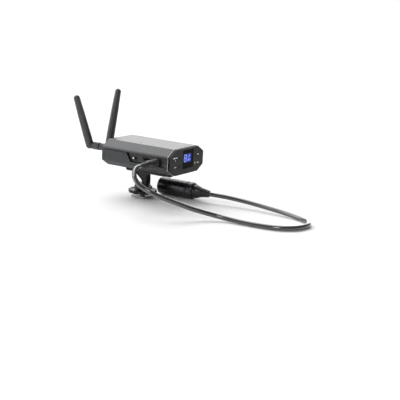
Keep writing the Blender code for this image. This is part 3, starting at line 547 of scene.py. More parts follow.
def waved(centre, reach_at, count):
    """An outline whose distance from the centre depends on the angle in radians."""
    turns = [2 * math.pi * i / count for i in range(count)]
    return [(centre[0] + reach_at(t) * math.cos(t), centre[1] + reach_at(t) * math.sin(t)) for t in turns]


# ---- meshes


def finish_mesh(name, bm, material=None, matrix=None):
    """An object from a bmesh in millimetres, moved by matrix, in the frame's coordinates."""
    bmesh.ops.recalc_face_normals(bm, faces=bm.faces)
    if matrix is not None:
        bmesh.ops.transform(bm, matrix=matrix, verts=bm.verts)
    bmesh.ops.scale(bm, vec=(MM, MM, MM), verts=bm.verts)
    mesh = bpy.data.meshes.new(name)
    bm.to_mesh(mesh)
    bm.free()
    if material is not None:
        mesh.materials.append(FINISHES[material])
    return link(bpy.data.objects.new(name, mesh))


FACINGS = {
    "x": lambda u, v, h: (h, u, v),
    "y": lambda u, v, h: (u, h, v),
    "z": lambda u, v, h: (u, v, h),
}


def prism(name, outline, start, end, facing, material=None, matrix=None):
    """A solid between two copies of an outline of (y, z), (x, z) or (x, y) points, facing x, y or z."""
    low, high = sorted((start, end))
    place = FACINGS[facing]
    bm = bmesh.new()
    bottom = [bm.verts.new(place(u, v, low)) for u, v in outline]
    top = [bm.verts.new(place(u, v, high)) for u, v in outline]
    bm.faces.new(bottom)
    bm.faces.new(top)
    for i in range(len(outline)):
        j = (i + 1) % len(outline)
        bm.faces.new((bottom[i], bottom[j], top[j], top[i]))
    return finish_mesh(name, bm, material, matrix)


def drill(outline, start, end, facing):
    """A cutter that runs on past both ends of the range."""
    low, high = sorted((start, end))
    return prism("drill", outline, low - RUN_ON, high + RUN_ON, facing)


AXIS_TURNS = {
    "x": Matrix.Rotation(math.radians(90), 4, "Y"),
    "y": Matrix.Rotation(math.radians(-90), 4, "X"),
    "z": Matrix.Identity(4),
}


def axis_of(node, axis):
    """A place for a lathe, in line with a CAD node's middle along the axis."""
    place = centre_mm(node)
    place["xyz".index(axis)] = 0
    return place


def lathe(name, profile, place, material=None, axis="z", steps=48, loop=False, matrix=None):
    """A turned shape from (radius, height) points along an axis through place. A loop makes a ring."""
    bm = bmesh.new()
    turns = [2 * math.pi * i / steps for i in range(steps)]
    rings = []
    for radius, height in profile:
        if radius < 1e-6:
            rings.append([bm.verts.new((0, 0, height))])
        else:
            rings.append([bm.verts.new((radius * math.cos(t), radius * math.sin(t), height)) for t in turns])
    pairs = list(zip(rings, rings[1:]))
    if loop:
        pairs.append((rings[-1], rings[0]))
    for near, far in pairs:
        for i in range(steps):
            j = (i + 1) % steps
            corners = [near[i % len(near)], near[j % len(near)], far[j % len(far)], far[i % len(far)]]
            corners = list(dict.fromkeys(corners))
            if len(corners) > 2:
                bm.faces.new(corners)
    turn = Matrix.Translation(Vector(place)) @ AXIS_TURNS[axis]
    if matrix is not None:
        turn = matrix @ turn
    return finish_mesh(name, bm, material, turn)


def bake(obj):
    """Turns the object's modifiers into its mesh."""
    bpy.context.view_layer.update()
    graph = bpy.context.evaluated_depsgraph_get()
    mesh = bpy.data.meshes.new_from_object(obj.evaluated_get(graph))
    before = obj.data
    obj.modifiers.clear()
    obj.data = mesh
    bpy.data.meshes.remove(before)


def tidy_faces(obj):
    """Merges doubled points and flat neighbouring faces, which leaves clean edges for a bevel."""
    bm = bmesh.new()
    bm.from_mesh(obj.data)
    bmesh.ops.remove_doubles(bm, verts=bm.verts, dist=MERGE_METRES)
    bmesh.ops.dissolve_degenerate(bm, dist=DEGENERATE_METRES, edges=bm.edges)
    flat = math.radians(FLAT_ANGLE)
    bmesh.ops.dissolve_limit(bm, angle_limit=flat, verts=bm.verts, edges=bm.edges)
    bm.to_mesh(obj.data)
    bm.free()


def combine(obj, others, operation):
    for other in others:
        step = obj.modifiers.new("combine", "BOOLEAN")
        step.operation = operation
        step.solver = "EXACT"
        step.object = other
        bake(obj)
        bpy.data.objects.remove(other)
    tidy_faces(obj)
    return obj


def cut(obj, *others):
    return combine(obj, others, "DIFFERENCE")


def join(obj, *others):
    return combine(obj, others, "UNION")


def soften(obj, width, segments=2, angle=28, engraving=()):
    """Rounds the object's sharp edges, cuts any fine engraving, and evens the shading."""
    bevel = obj.modifiers.new("soft_edges", "BEVEL")
    bevel.width = width * MM
    bevel.segments = segments
    bevel.limit_method = "ANGLE"
    bevel.angle_limit = math.radians(angle)
    bevel.miter_outer = "MITER_ARC"
    bake(obj)
    if engraving:
        cut(obj, *engraving)
    obj.data.shade_smooth()
    obj.data.set_sharp_from_angle(angle=math.radians(SHARP_ANGLE))
    weighted = obj.modifiers.new("even_shading", "WEIGHTED_NORMAL")
    weighted.keep_sharp = True
    return obj


def merge(name, pieces):
    """One object from several that don't touch, such as the segments of a digit."""
    bpy.context.view_layer.update()
    bm = bmesh.new()
    for piece in pieces:
        bake(piece)
        bm.from_mesh(piece.data)
    mesh = bpy.data.meshes.new(name)
    bm.to_mesh(mesh)
    bm.free()
    mesh.materials.append(pieces[0].data.materials[0])
    for piece in pieces:
        bpy.data.objects.remove(piece)
    return link(bpy.data.objects.new(name, mesh))


def settle(obj, slot, *nodes, body="receiver"):
    """Fastens a finished piece to its body, and hides the CAD nodes that it stands for."""
    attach(obj, body)
    if nodes:
        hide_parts(*nodes)
    return obj


def fasten(obj, width, slot, *nodes, body="receiver", **bevel):
    """Softens a piece's edges and settles it."""
    return settle(soften(obj, width, **bevel), slot, *nodes, body=body)


def print_signs(name, outlines, start, end, facing, finish, slot):
    """One flat piece on the receiver from the outlines of several signs."""
    signs = [prism("sign", outline, start, end, facing, finish) for outline in outlines]
    settle(merge(name, signs), slot)


def paint(node, finish):
    """Gives a CAD node that stays in view a finish."""
    obj = frame["nodes"][node]
    obj.data.materials.clear()
    obj.data.materials.append(FINISHES[finish])


# ---- cable, its boots and connector


def between(first, last, start, end, t):
    """The point at t on a line that is at first at start, and at last at end."""
    return first * (end - t) / (end - start) + last * (t - start) / (end - start)


def smooth_points(route, count):
    """Evenly spread points on a centripetal Catmull-Rom curve through the route."""
    knots = [Vector(point) for point in route]
    knots = [2 * knots[0] - knots[1]] + knots + [2 * knots[-1] - knots[-2]]
    dense = []
    for p0, p1, p2, p3 in zip(knots, knots[1:], knots[2:], knots[3:]):
        t1 = (p1 - p0).length ** 0.5
        t2 = t1 + (p2 - p1).length ** 0.5
        t3 = t2 + (p3 - p2).length ** 0.5
        for step in range(12):
            t = t1 + (t2 - t1) * step / 12
            middle = between(p1, p2, t1, t2, t)
            near = between(between(p0, p1, 0, t1, t), middle, 0, t2, t)
            far = between(middle, between(p2, p3, t2, t3, t), t1, t3, t)
            dense.append(between(near, far, t1, t2, t))
    dense.append(knots[-2])
    travelled = [0.0]
    for before, after in zip(dense, dense[1:]):
        travelled.append(travelled[-1] + (after - before).length)
    spread = []
    reached = 0
    for i in range(count):
        goal = travelled[-1] * i / (count - 1)
        while reached < len(dense) - 2 and travelled[reached + 1] < goal:
            reached += 1
        share = (goal - travelled[reached]) / (travelled[reached + 1] - travelled[reached])
        spread.append(dense[reached].lerp(dense[reached + 1], min(share, 1.0)))
    return spread


def output_cable():
    inside_plug = Vector(CORD_ROUTE[0]) + Vector((CORD_HIDDEN_END, 0, 0))
    inside_connector = Vector(CORD_ROUTE[-1]) + Vector((0, CORD_HIDDEN_END, 0))
    points = smooth_points([inside_plug, *CORD_ROUTE, inside_connector], CORD_POINTS)
    curve = bpy.data.curves.new("output_cable", "CURVE")
    curve.dimensions = "3D"
    curve.bevel_depth = CORD_RADIUS * MM
    curve.bevel_resolution = 6
    curve.use_fill_caps = True
    spline = curve.splines.new("POLY")
    spline.points.add(len(points) - 1)
    for target, point in zip(spline.points, points):
        target.co = (*(point * MM), 1)
    spline.use_smooth = True
    curve.materials.append(FINISHES["cord_black"])
    cable = link(bpy.data.objects.new("output_cable", curve))
    return settle(cable, "cord_black", "output_cord")


def plug_boot():
    """The moulded plug body with finger grooves, and a slotted strain relief that tapers onto the cable."""
    low, high = box_mm("plug_boot")
    face, end, radius = high.x, low.x, (high.z - low.z) / 2
    relief = tapered(end, 2.95, face - 19.0, 3.55)
    profile = along(face, (0, 0), (3.6, 0), (3.6, -0.9), (radius, -0.9), (radius, -3.0))
    profile += ribbed(lambda place: radius, face - 3.0, face - 13.0, ribs=7, depth=0.35)
    profile += along(face, (radius, -16.2), (3.75, -18.4), (3.55, -19.0))
    profile += ribbed(relief, face - 19.2, end + 0.4, ribs=5, depth=0.5, share=0.62)
    profile += along(end, (CORD_RADIUS + 0.25, 0), (CORD_RADIUS - 0.1, 0.3), (0, 0.3))
    boot = lathe("plug_sleeve", profile, axis_of("plug_boot", "x"), "boot_black", "x", 56)
    return fasten(boot, 0.16, "cord_black", "plug_boot")


def plug_tip():
    """The three contacts of the plug, with insulating rings between them."""
    low, high = box_mm("plug_contact")
    profile = along(high.x, (0, 0), (0.8, -0.5), (1.6, -1.8), (1.15, -3.2), (1.65, -3.6), (1.65, -6.4))
    profile += along(high.x, (1.55, -6.5), (1.55, -7.0), (1.65, -7.1))
    profile += [(1.65, low.x), (0, low.x)]
    contact = lathe("plug_tip", profile, axis_of("plug_contact", "x"), "nickel", "x", 40)
    return fasten(contact, 0.08, "nickel", "plug_contact")


def knurl_reach(angle):
    return KNURL_RADIUS + KNURL_DEPTH * math.cos(KNURL_FLUTES * angle)


def connector_pieces():
    """The three-pin connector: shell with its latch window and knurled ring, insert, pins and ribbed boot."""
    low, high = box_mm("connector_shell")
    rear, mouth, top, radius = low.y, high.y, high.z, (high.z - low.z) / 2
    place = axis_of("connector_shell", "y")
    x, z = place.x, place.z
    insert_back, pin_end = (corner.y for corner in box_mm("connector_insert"))
    insert_front = insert_back + 4.0

    profile = along(rear, (0, 0), (8.2, 0), (8.75, 1.0), (8.75, 6.2), (9.1, 6.9), (9.1, 7.6), (radius, 8.0))
    profile += along(mouth, (radius, -1.2), (radius - 0.25, -0.3), (radius - 0.5, 0))
    profile += along(mouth, (CONNECTOR_BORE + 0.2, 0), (CONNECTOR_BORE, -0.4))
    profile += along(insert_back, (CONNECTOR_BORE, -GAP), (0, -GAP))
    shell = lathe("connector_body", profile, place, "connector_shell", "y", 64)
    latch_centre = (x, mouth - 14.5)
    cut(shell, prism("window", rectangle(latch_centre, (4.8, 6.0)), top - 0.5, top + 2, "z"))
    fasten(shell, 0.18, "connector_shell", "connector_shell")

    latch = prism("latch_button", slab(latch_centre, (3.8, 5.0), 0.8), top - 1.2, top - 0.12, "z", "steel")
    fasten(latch, 0.3, "steel", segments=3)

    flutes = waved((x, z), knurl_reach, 4 * KNURL_FLUTES)
    knurl = prism("connector_knurl", flutes, rear + 1.4, rear + 5.8, "y", "connector_shell")
    fasten(knurl, 0.12, "connector_shell", angle=50)

    profile = along(insert_front, (0, 0), (7.7, 0), (8.05, -0.35)) + [(8.05, insert_back), (0, insert_back)]
    insert = lathe("pin_insert", profile, place, "bay_black", "y", 56)
    key = rectangle((x, z + 7.7), (2.2, 2.6))
    cut(insert, prism("key_slot", key, insert_front - 1.6, insert_front + 1, "y"))
    fasten(insert, 0.12, "bay_black", "connector_insert")

    profile = along(pin_end, (0, 0), (0.55, 0), (PIN_RADIUS, -0.9))
    profile += along(insert_front, (PIN_RADIUS, -0.5), (0, -0.5))
    pins = [
        soften(lathe("pin", profile, (pin_x, 0, pin_z), "nickel", "y", 24), 0.12)
        for pin_x, pin_z in arc((x, z), PIN_CIRCLE, 30, 270, 2)
    ]
    pins = settle(merge("connector_pins", pins), "nickel")

    low, high = box_mm("connector_boot")
    relief = tapered(low.y, 3.7, high.y - 9.0, 5.2)
    profile = along(high.y, (0, 0), (7.2, 0), (7.2, -3.4), (6.9, -4.0), (5.4, -8.4))
    profile += ribbed(relief, high.y - 8.9, low.y + 0.8, ribs=5, depth=0.55, share=0.6)
    profile += along(low.y, (3.55, 0), (CORD_RADIUS - 0.1, 0.4), (0, 0.4))
    boot = lathe("connector_sleeve", profile, place, "boot_black", "y", 56)
    fasten(boot, 0.2, "cord_black", "connector_boot")
    return [shell, latch, knurl, insert, pins, boot]


def cable_set():
    cable = output_cable()
    on_it = [plug_boot(), plug_tip()] + connector_pieces()


# ---- housing


def across(outline):
    """A cutter across the housing's whole width and beyond."""
    return drill(outline, -BODY_HALF_WIDTH - PAST, BODY_HALF_WIDTH + PAST, "x")


def housing_half(name, finish):
    half = prism(name, housing_section(), SHELL_FRONT, SHELL_REAR, "y", finish)
    return cut(half, prism("hollow", housing_section(WALL, 0), SHELL_FRONT - PAST, SHELL_REAR + PAST, "y"))


def upper_housing():
    shell = housing_half("upper_housing", "shell_paint")
    high, low, under, top = SEAM_HIGH + GAP, SEAM_LOW + GAP, SHELL_LOW.z - PAST, SHELL_HIGH.z
    front, rear = SHELL_FRONT - PAST, SHELL_REAR + PAST
    step = BAY_FRONT - GAP
    below = [(rear, high), (step, high), (step, low), (front, low), (front, under), (rear, under)]
    below = rounded(below, [0, 1.6, 1.6, 0, 0, 0])
    dimple = lathe("dimple", along(top, (0, 1), (1.5, 1), (1.1, -0.5), (0, -0.7)), DIMPLE_PLACE)
    cut(shell, across(below), dimple)
    fasten(shell, 0.4, "shell_paint", "upper_shell", segments=3)


def lower_housing():
    # the lower shell takes the shaded copy of the shell paint, which paints its underside darker than the
    # floor's light leaves it
    shell = housing_half("lower_housing", "lower_shell_shaded_paint")
    high, low, over = SEAM_HIGH - GAP, SEAM_LOW - GAP, SHELL_HIGH.z + PAST
    front, rear = SHELL_FRONT - PAST, SHELL_REAR + PAST
    above = [(rear, high), (rear, over), (front, over), (front, low)]
    above += [(STEP_BOTTOM + GAP, low), (STEP_TOP + GAP, high)]
    above = rounded(above, [0, 0, 0, 0, 2.0, 1.2])
    recess = along(SHELL_LOW.z, (0, -2), (3.2, -2), (2.9, 0.9), (0, 0.9))
    recesses = [lathe("recess", recess, axis_of(f"housing_screw_{i}", "z"), steps=32) for i in CASE_SCREWS]
    line = slab(SIDE_LINE_CENTRE, SIDE_LINE_SIZE, 0.2)
    inner, outer = BODY_HALF_WIDTH - 0.3, BODY_HALF_WIDTH + 2
    lines = [prism("side_line", line, side * inner, side * outer, "x") for side in (-1, 1)]
    cut(shell, across(above), *recesses)
    fasten(shell, 0.4, "shell_paint", "lower_shell", segments=3, engraving=lines)


def seam_liner():
    """A tongue behind the seam, so that no light shows between the shells, in the near-black finish that
    paints the seam's shade.
    """
    front, rear = SHELL_FRONT - 0.2, SHELL_REAR - 4.0
    liner = prism("seam_tongue", housing_section(WALL + 0.1, 0), front, rear, "y", "recess_shade_black")
    hollow = prism("hollow", housing_section(WALL + 0.7, 0), front - PAST, rear + PAST, "y")
    bay_front, bay_rear, bay_low, bay_high = BAY_FRONT - 0.8, STEP_TOP + 1.0, SEAM_LOW - 1.0, SEAM_HIGH + 1.0
    bay = [(bay_front, bay_low), (bay_rear, bay_low), (bay_rear, bay_high), (bay_front, bay_high)]
    cut(liner, hollow, across(bay))
    settle(liner, "bay_black")


def cross_screw(name, node, seat_height, head_radius, head_height):
    """A pan-head screw with a cross recess in its head, which faces down."""
    seat = box_mm(node)[0].z + seat_height
    edge = seat - head_height
    stem = head_radius * 0.5
    profile = along(seat, (0, 1.5), (stem, 1.5), (stem, 0), (head_radius, 0))
    profile += [(head_radius, seat - 0.4 * head_height), (0.78 * head_radius, seat - 0.86 * head_height)]
    screw = lathe(name, profile + [(0, edge)], axis_of(node, "z"), "steel", steps=36)
    centre = centre_mm(node).xy
    cut(screw, *[prism("slot", rectangle(centre, size), edge - 1, edge + 0.7, "z") for size in SCREW_CROSS])
    fasten(screw, 0.1, "steel", node)


def screws():
    for i in CASE_SCREWS:
        cross_screw(f"case_screw_{i}", f"housing_screw_{i}", 0.9, 2.35, 0.85)
    for i in CLIP_SCREWS:
        cross_screw(f"clip_bolt_{i}", f"clip_screw_{i}", 1.1, 2.65, 1.05)


# ---- front


def front_face():
    low, high = box_mm("front_panel")
    window_low, window_high = box_mm("display_window")
    panel = prism("front_face", housing_section(0.4), low.y, high.y, "y", "panel_black")
    opening = [side + 2 * GAP for side in (window_high - window_low).xz]
    holes = [slab(centre_mm("display_window").xz, opening, 0.7)]
    for radius, nodes in ((BUTTON_RADIUS, BUTTONS), (LIGHT_RADIUS, LIGHTS)):
        holes += [circle(centre_mm(node).xz, radius + GAP) for node in nodes]
    cut(panel, *[drill(hole, low.y, high.y, "y") for hole in holes])
    fasten(panel, 0.35, "panel_black", "front_panel", segments=3)


def trim_ring():
    low, high = box_mm("front_trim_ring")
    ring = prism("trim_ring", housing_section(-0.15), low.y, high.y, "y", "trim_metal")
    cut(ring, drill(housing_section(2.6, 0), low.y, high.y, "y"))
    fasten(ring, 0.25, "trim_metal", "front_trim_ring", segments=3)


def display():
    low, high = box_mm("display_window")
    outline = slab(centre_mm("display_window").xz, (high - low).xz, 0.5)
    window = prism("display_frame", outline, low.y, high.y, "y", "window_gloss")
    centre = (sum(LCD_X) / 2, sum(LCD_Z) / 2)
    size = (LCD_X[1] - LCD_X[0], LCD_Z[1] - LCD_Z[0])
    face, back = low.y + LCD_DEPTH, low.y + LCD_DEPTH + 0.5
    cut(window, prism("view", slab(centre, size, 0.3), low.y - 1, back, "y"))
    fasten(window, 0.12, "window_gloss", "display_window")
    cell = rectangle(centre, [side - 0.04 for side in size])
    glass = prism("display_cell", cell, face, back, "y", "lcd_blue")
    fasten(glass, 0.05, "lcd_blue", "lcd_module")
    display_marks(face)


def seven_segments(left, bottom, width, height, stroke):
    """Outlines of the bars of a seven-segment 8, each with pointed ends."""
    right, top, mid = left + width, bottom + height, bottom + height / 2
    half, space = stroke / 2, stroke * 0.12

    def bar(start, end, level):
        a, b = start + space, end - space
        near, far = level - half, level + half
        return [(a, level), (a + half, near), (b - half, near), (b, level), (b - half, far), (a + half, far)]

    level_bars = [bar(left, right, level) for level in (bottom, mid, top)]
    upright_bars = [bar(*ends, level) for ends in ((bottom, mid), (mid, top)) for level in (left, right)]
    return level_bars + [[(u, v) for v, u in outline] for outline in upright_bars]


def display_marks(face):
    """The channel digit, a signal gauge and a battery sign, as lit marks just in front of the cell."""
    outlines = seven_segments(LCD_X[0] + 1.0, LCD_Z[0] + 1.1, width=4.1, height=7.0, stroke=1.2)
    left, bottom = LCD_X[0] + 8.15, LCD_Z[0] + 5.4
    for i in range(4):
        tall = 1.1 + 0.55 * i
        outlines.append(rectangle((left + 1.15 * i, bottom + tall / 2), (0.7, tall)))
    left, bottom, width, height, line = LCD_X[0] + 7.6, LCD_Z[0] + 1.6, 4.4, 2.2, 0.35
    middle = bottom + height / 2
    for u, v, wide, tall in (
        (left + width / 2, bottom, width + line, line),
        (left + width / 2, bottom + height, width + line, line),
        (left, middle, line, height - line),
        (left + width, middle, line, height - line),
        (left + width + 0.45, middle, 0.4, 1.0),
        (left + 1.2, middle, 1.2, 1.2),
        (left + 2.8, middle, 1.2, 1.2),
    ):
        outlines.append(rectangle((u, v), (wide, tall)))
    print_signs("display_marks", outlines, face - 0.06, face + 0.02, "y", "lcd_mark", "lcd_blue")


def panel_marks():
    """Plain bars and a pointer in place of the words beside the buttons and lights."""
    face = box_mm("front_panel")[0].y
    outlines = []
    for node, shift_x, shift_z, length in PRINTED_BARS:
        outlines.append(slab(centre_mm(node).xz + Vector((shift_x, shift_z)), (length, 0.9), 0.4))
    x, z = centre_mm("select_button").xz
    outlines.append([(x - 9.9, z - 0.9), (x - 8.1, z - 0.9), (x - 9.0, z - 2.3)])
    print_signs("panel_print", outlines, face - 0.03, face + 0.05, "y", "print_grey", "panel_black")


def buttons():
    for node in BUTTONS:
        low, high = box_mm(node)
        profile = along(high.y, (0, 0), (2.55, 0), (2.55, -0.7), (BUTTON_RADIUS, -0.7))
        profile += along(low.y, (BUTTON_RADIUS, 0.35), (1.62, 0.06), (1.4, 0), (1.0, 0.12), (0.5, 0.2))
        profile += along(low.y, (0, 0.22))
        cap = lathe(f"{node}_cap", profile, axis_of(node, "y"), "button_black", "y")
        fasten(cap, 0.08, "button_black", node, body=node)


def light_lenses():
    for node, finish in zip(LIGHTS, ("light_dark", "light_green")):
        low, high = box_mm(node)
        dome = arc((0, 0), LIGHT_RADIUS, 0, 90, 8)[:-1]
        profile = [(0, high.y), (LIGHT_RADIUS, high.y)]
        profile += [(radius, low.y + LENS_RISE * (1 - height / LIGHT_RADIUS)) for radius, height in dome]
        lens = lathe(f"{node}_lens", profile + [(0, low.y)], axis_of(node, "y"), finish, "y", 32)
        lens.data.shade_smooth()
        settle(lens, finish, node)


# ---- side bays


def bay_outline(rear_inset, low_inset, high_inset, front_inset):
    """The bay's outline in y and z, moved in from each side, with soft rear and lower corners."""
    low, high, front = SEAM_LOW + low_inset, SEAM_HIGH - high_inset, BAY_FRONT + front_inset
    slope = (STEP_TOP - STEP_BOTTOM) / (SEAM_HIGH - SEAM_LOW)
    rear_low, rear_high = (STEP_BOTTOM + slope * (z - SEAM_LOW) - GAP - rear_inset for z in (low, high))
    return rounded([(front, low), (rear_low, low), (rear_high, high), (front, high)], [0.8, 2.2, 1.0, 0.8])


def side_plate(name, side, node, holes, pockets=()):
    """The bay's floor, in the near-black finish that paints the shade in the groove, and a raised face plate
    that leaves a groove along the step.
    """
    inner, trough, outer = side * BAY_BACK, side * (BAY_FACE - BAY_TROUGH), side * BAY_FACE
    # the floor's near-black finish is painted shade for the groove and the bay's depths
    floor = prism(f"{name}_floor", bay_outline(-0.9, -0.9, -0.2, -0.6), inner, trough, "x", "recess_shade_black")
    face = prism(f"{name}_face", bay_outline(2.1, 0.75, 0.1, 0.3), trough, outer, "x", "bay_black")
    for plate in (floor, face):
        cut(plate, *[drill(hole, inner, outer, "x") for hole in holes])
    if pockets:
        cut(face, *[prism("pocket", pocket, outer + side, outer - side * 0.5, "x") for pocket in pockets])
    fasten(face, 0.18, "bay_black", node)
    settle(floor, "bay_black")


def raised_border(name, centre, size):
    """A thin raised border round a control in the left bay."""
    low, high = -BAY_FACE - BORDER_RISE, -BAY_FACE + 0.1
    ring = prism(name, slab(centre, size, 1.0), low, high, "x", "bay_black")
    cut(ring, drill(slab(centre, [side - 2 * BORDER_WIDTH for side in size], 0.7), low, high, "x"))
    fasten(ring, 0.12, "bay_black")


def left_bay():
    travel = abs(joint_named("power_slide")["range_m"][0]) / MM
    switch = centre_mm("power_switch_knob").yz - Vector((travel / 2, 0))
    usb, jack = centre_mm("usb_socket").yz, centre_mm("output_jack").yz
    holes = [
        slab(switch, (travel + KNOB_SIZE[0] + 0.8, 2.8), 0.5),
        slab(usb, (8.0, 3.2), 0.9),
        circle(jack, JACK_HOLE, 40),
    ]
    pockets = [slab(switch, (8.0, 5.0), 0.8), slab(usb, (9.2, 4.4), 0.8)]
    side_plate("left_bay", -1, "jack_plate_left", holes, pockets)
    raised_border("switch_border", switch, (8.9, 5.9))
    raised_border("usb_border", usb, (10.0, 5.2))


def power_switch():
    """A grooved dark knob with a light ridge, on a carriage behind the face plate."""
    low, high = box_mm("power_switch_knob")
    centre = centre_mm("power_switch_knob").yz
    knob = prism("switch_knob", rectangle(centre, KNOB_SIZE), low.x + 0.5, low.x + 3.2, "x", "knob_base")
    grooves = [rectangle(centre + Vector((shift, 0)), (0.24, 4)) for shift in (-1.1, 1.1)]
    cut(knob, *[prism("groove", groove, low.x - 1, low.x + 0.75, "x") for groove in grooves])
    fasten(knob, 0.12, "knob_grey", "power_switch_knob", body="power_switch")
    ridge = prism("knob_ridge", rectangle(centre, RIDGE_SIZE), low.x, low.x + 0.9, "x", "knob_grey")
    fasten(ridge, 0.2, "knob_grey", segments=3, body="power_switch")
    outline = rectangle(centre, CARRIAGE_SIZE)
    carriage = prism("switch_carriage", outline, high.x - 0.95, high.x, "x", "bay_black")
    fasten(carriage, 0.15, "knob_grey", body="power_switch")


def usb_port():
    """A flat metal socket with a tongue in the near-black finish that paints the shade inside its mouth."""
    low, high = box_mm("usb_socket")
    centre, size = centre_mm("usb_socket").yz, (high - low).yz
    shell = prism("usb_shell", slab(centre, size, 0.85), low.x, high.x, "x", "connector_shell")
    cut(shell, prism("mouth", slab(centre, [side - 0.55 for side in size], 0.65), low.x - 1, high.x - 1, "x"))
    fasten(shell, 0.08, "nickel", "usb_socket")
    outline = rectangle(centre, (4.8, 0.6))
    tongue = prism("usb_tongue", outline, low.x + 0.7, high.x - 0.8, "x", "recess_shade_black")
    fasten(tongue, 0.1, "bay_black")


def jack_collar(name, node, side):
    """A socket collar with a rounded lip, a metal contact ring inside and a stop at its back, the stop in the
    near-black finish that paints the shade down the bore.
    """
    low, high = box_mm(node)
    place = axis_of(node, "x")
    tip, back = (high.x, low.x) if side > 0 else (low.x, high.x)
    lip, stop = tip - side * 0.9, tip - side * 9.0
    profile = [(JACK_BORE, back), (3.05, back)]
    profile += along(tip, (3.05, -side * 0.4), (2.75, 0), (2.4, 0), (JACK_BORE, -side * 0.5))
    collar = lathe(name, profile, place, "bay_black", "x", loop=True)
    fasten(collar, 0.12, "bay_black", node)
    profile = tube(1.75, JACK_BORE - 0.02, lip, lip - side * 2.5)
    contact = lathe(f"{name}_contact", profile, place, "nickel", "x", 40, loop=True)
    fasten(contact, 0.08, "nickel")
    end = lathe(f"{name}_back", tube(0, JACK_BORE - 0.02, stop, back), place, "recess_shade_black", "x", 32)
    fasten(end, 0.1, "bay_black")


def right_bay():
    """The phones socket's face plate, with a raised border and a headphones sign in print."""
    jack = centre_mm("phones_jack")
    side_plate("right_bay", 1, "jack_plate_right", [circle(jack.yz, JACK_HOLE, 40)])
    profile = tube(3.5, 4.3, BAY_FACE - 0.1, BAY_FACE + BORDER_RISE)
    border = lathe("phones_border", profile, axis_of("phones_jack", "x"), "bay_black", "x", loop=True)
    fasten(border, 0.1, "bay_black")
    y, z = jack.y + 9.0, jack.z - 0.3
    signs = [arc((y, z), 1.7, 0, 180, 14) + arc((y, z), 1.3, 180, 0, 14)]
    signs += [slab((y + shift, z - 0.5), (0.8, 1.4), 0.25) for shift in (-1.45, 1.45)]
    print_signs("phones_sign", signs, BAY_FACE - 0.05, BAY_FACE + 0.03, "x", "print_grey", "bay_black")


# ---- rear and antennas


def rear_face():
    low, high = box_mm("rear_panel")
    panel = prism("rear_face", housing_section(WALL + GAP, 0.8), low.y, high.y, "y", "panel_black")
    bushings = [centre_mm(f"antenna_bushing_{side}").xz for side in SIDES]
    holes = [drill(circle(centre, 3.2, 36), low.y, high.y, "y") for centre in bushings]
    pocket = slab((0, BODY_MID - 3.5), (26, 8), 1.5)
    cut(panel, *holes, prism("pocket", pocket, high.y - 0.4, high.y + 2, "y"))
    fasten(panel, 0.25, "panel_black", "rear_panel", segments=3)


def antenna_frames(side):
    """The matrices at rest of the barrel's axis and of the whip's axis, in millimetres."""
    swivel, elbow = joint_named(f"swivel_{side}"), joint_named(f"elbow_{side}")
    start = Vector(swivel["pos_m"]) / MM
    axis = Vector(elbow["axis"])
    turn = math.atan2(-axis.z, axis.x)
    lean = math.radians(elbow["range_deg"][1])
    reach = (Vector(elbow["pos_m"]) / MM).y - start.y
    barrel = Matrix.Translation(start) @ Matrix.Rotation(turn, 4, "Y")
    whip = barrel @ Matrix.Translation((0, reach, 0)) @ Matrix.Rotation(-lean, 4, "X")
    return barrel, whip, reach


def antenna_collar(side):
    node = f"antenna_bushing_{side}"
    low, high = box_mm(node)
    flange = SHELL_REAR - 0.7
    profile = along(high.y, (0, 0), (3.3, 0), (3.85, -0.6), (3.85, -2.0), (3.6, -2.2), (3.6, -2.6))
    profile += along(high.y, (3.85, -2.8))
    profile += along(flange, (3.85, 2.0), (4.3, 1.5), (5.3, 1.5), (5.55, 1.2), (5.55, 0), (2.8, 0))
    profile += [(2.8, low.y), (0, low.y)]
    collar = lathe(f"antenna_collar_{side}", profile, axis_of(node, "y"), "antenna_rubber", "y", 56)
    fasten(collar, 0.14, "antenna_rubber", node)


def antenna_barrel(side, matrix, reach):
    """The barrel with a fine groove near each end, and the tongue that the whip turns on."""
    radius, groove, length = BARREL_RADIUS, BARREL_RADIUS - 0.18, BARREL_LENGTH
    profile = along(length, (0, 0), (3.7, 0), (radius, -0.5), (radius, -1.6), (groove, -1.75))
    profile += [(groove, length - 2.05), (radius, length - 2.2), (radius, 1.9), (groove, 1.75)]
    profile += [(groove, 1.45), (radius, 1.3), (radius, 0.5), (3.7, 0), (0, 0)]
    barrel = lathe(f"barrel_{side}", profile, (0, 0, 0), "antenna_rubber", "y", 56, matrix=matrix)
    root = length - 1.5
    outline = [(root, -TONGUE_RADIUS)] + arc((reach, 0), TONGUE_RADIUS, -90, 90, 20) + [(root, TONGUE_RADIUS)]
    join(barrel, prism("tongue", outline, -TONGUE_WIDTH / 2, TONGUE_WIDTH / 2, "x", matrix=matrix))
    fasten(barrel, 0.2, "antenna_rubber", f"antenna_barrel_{side}", body=f"barrel_{side}")


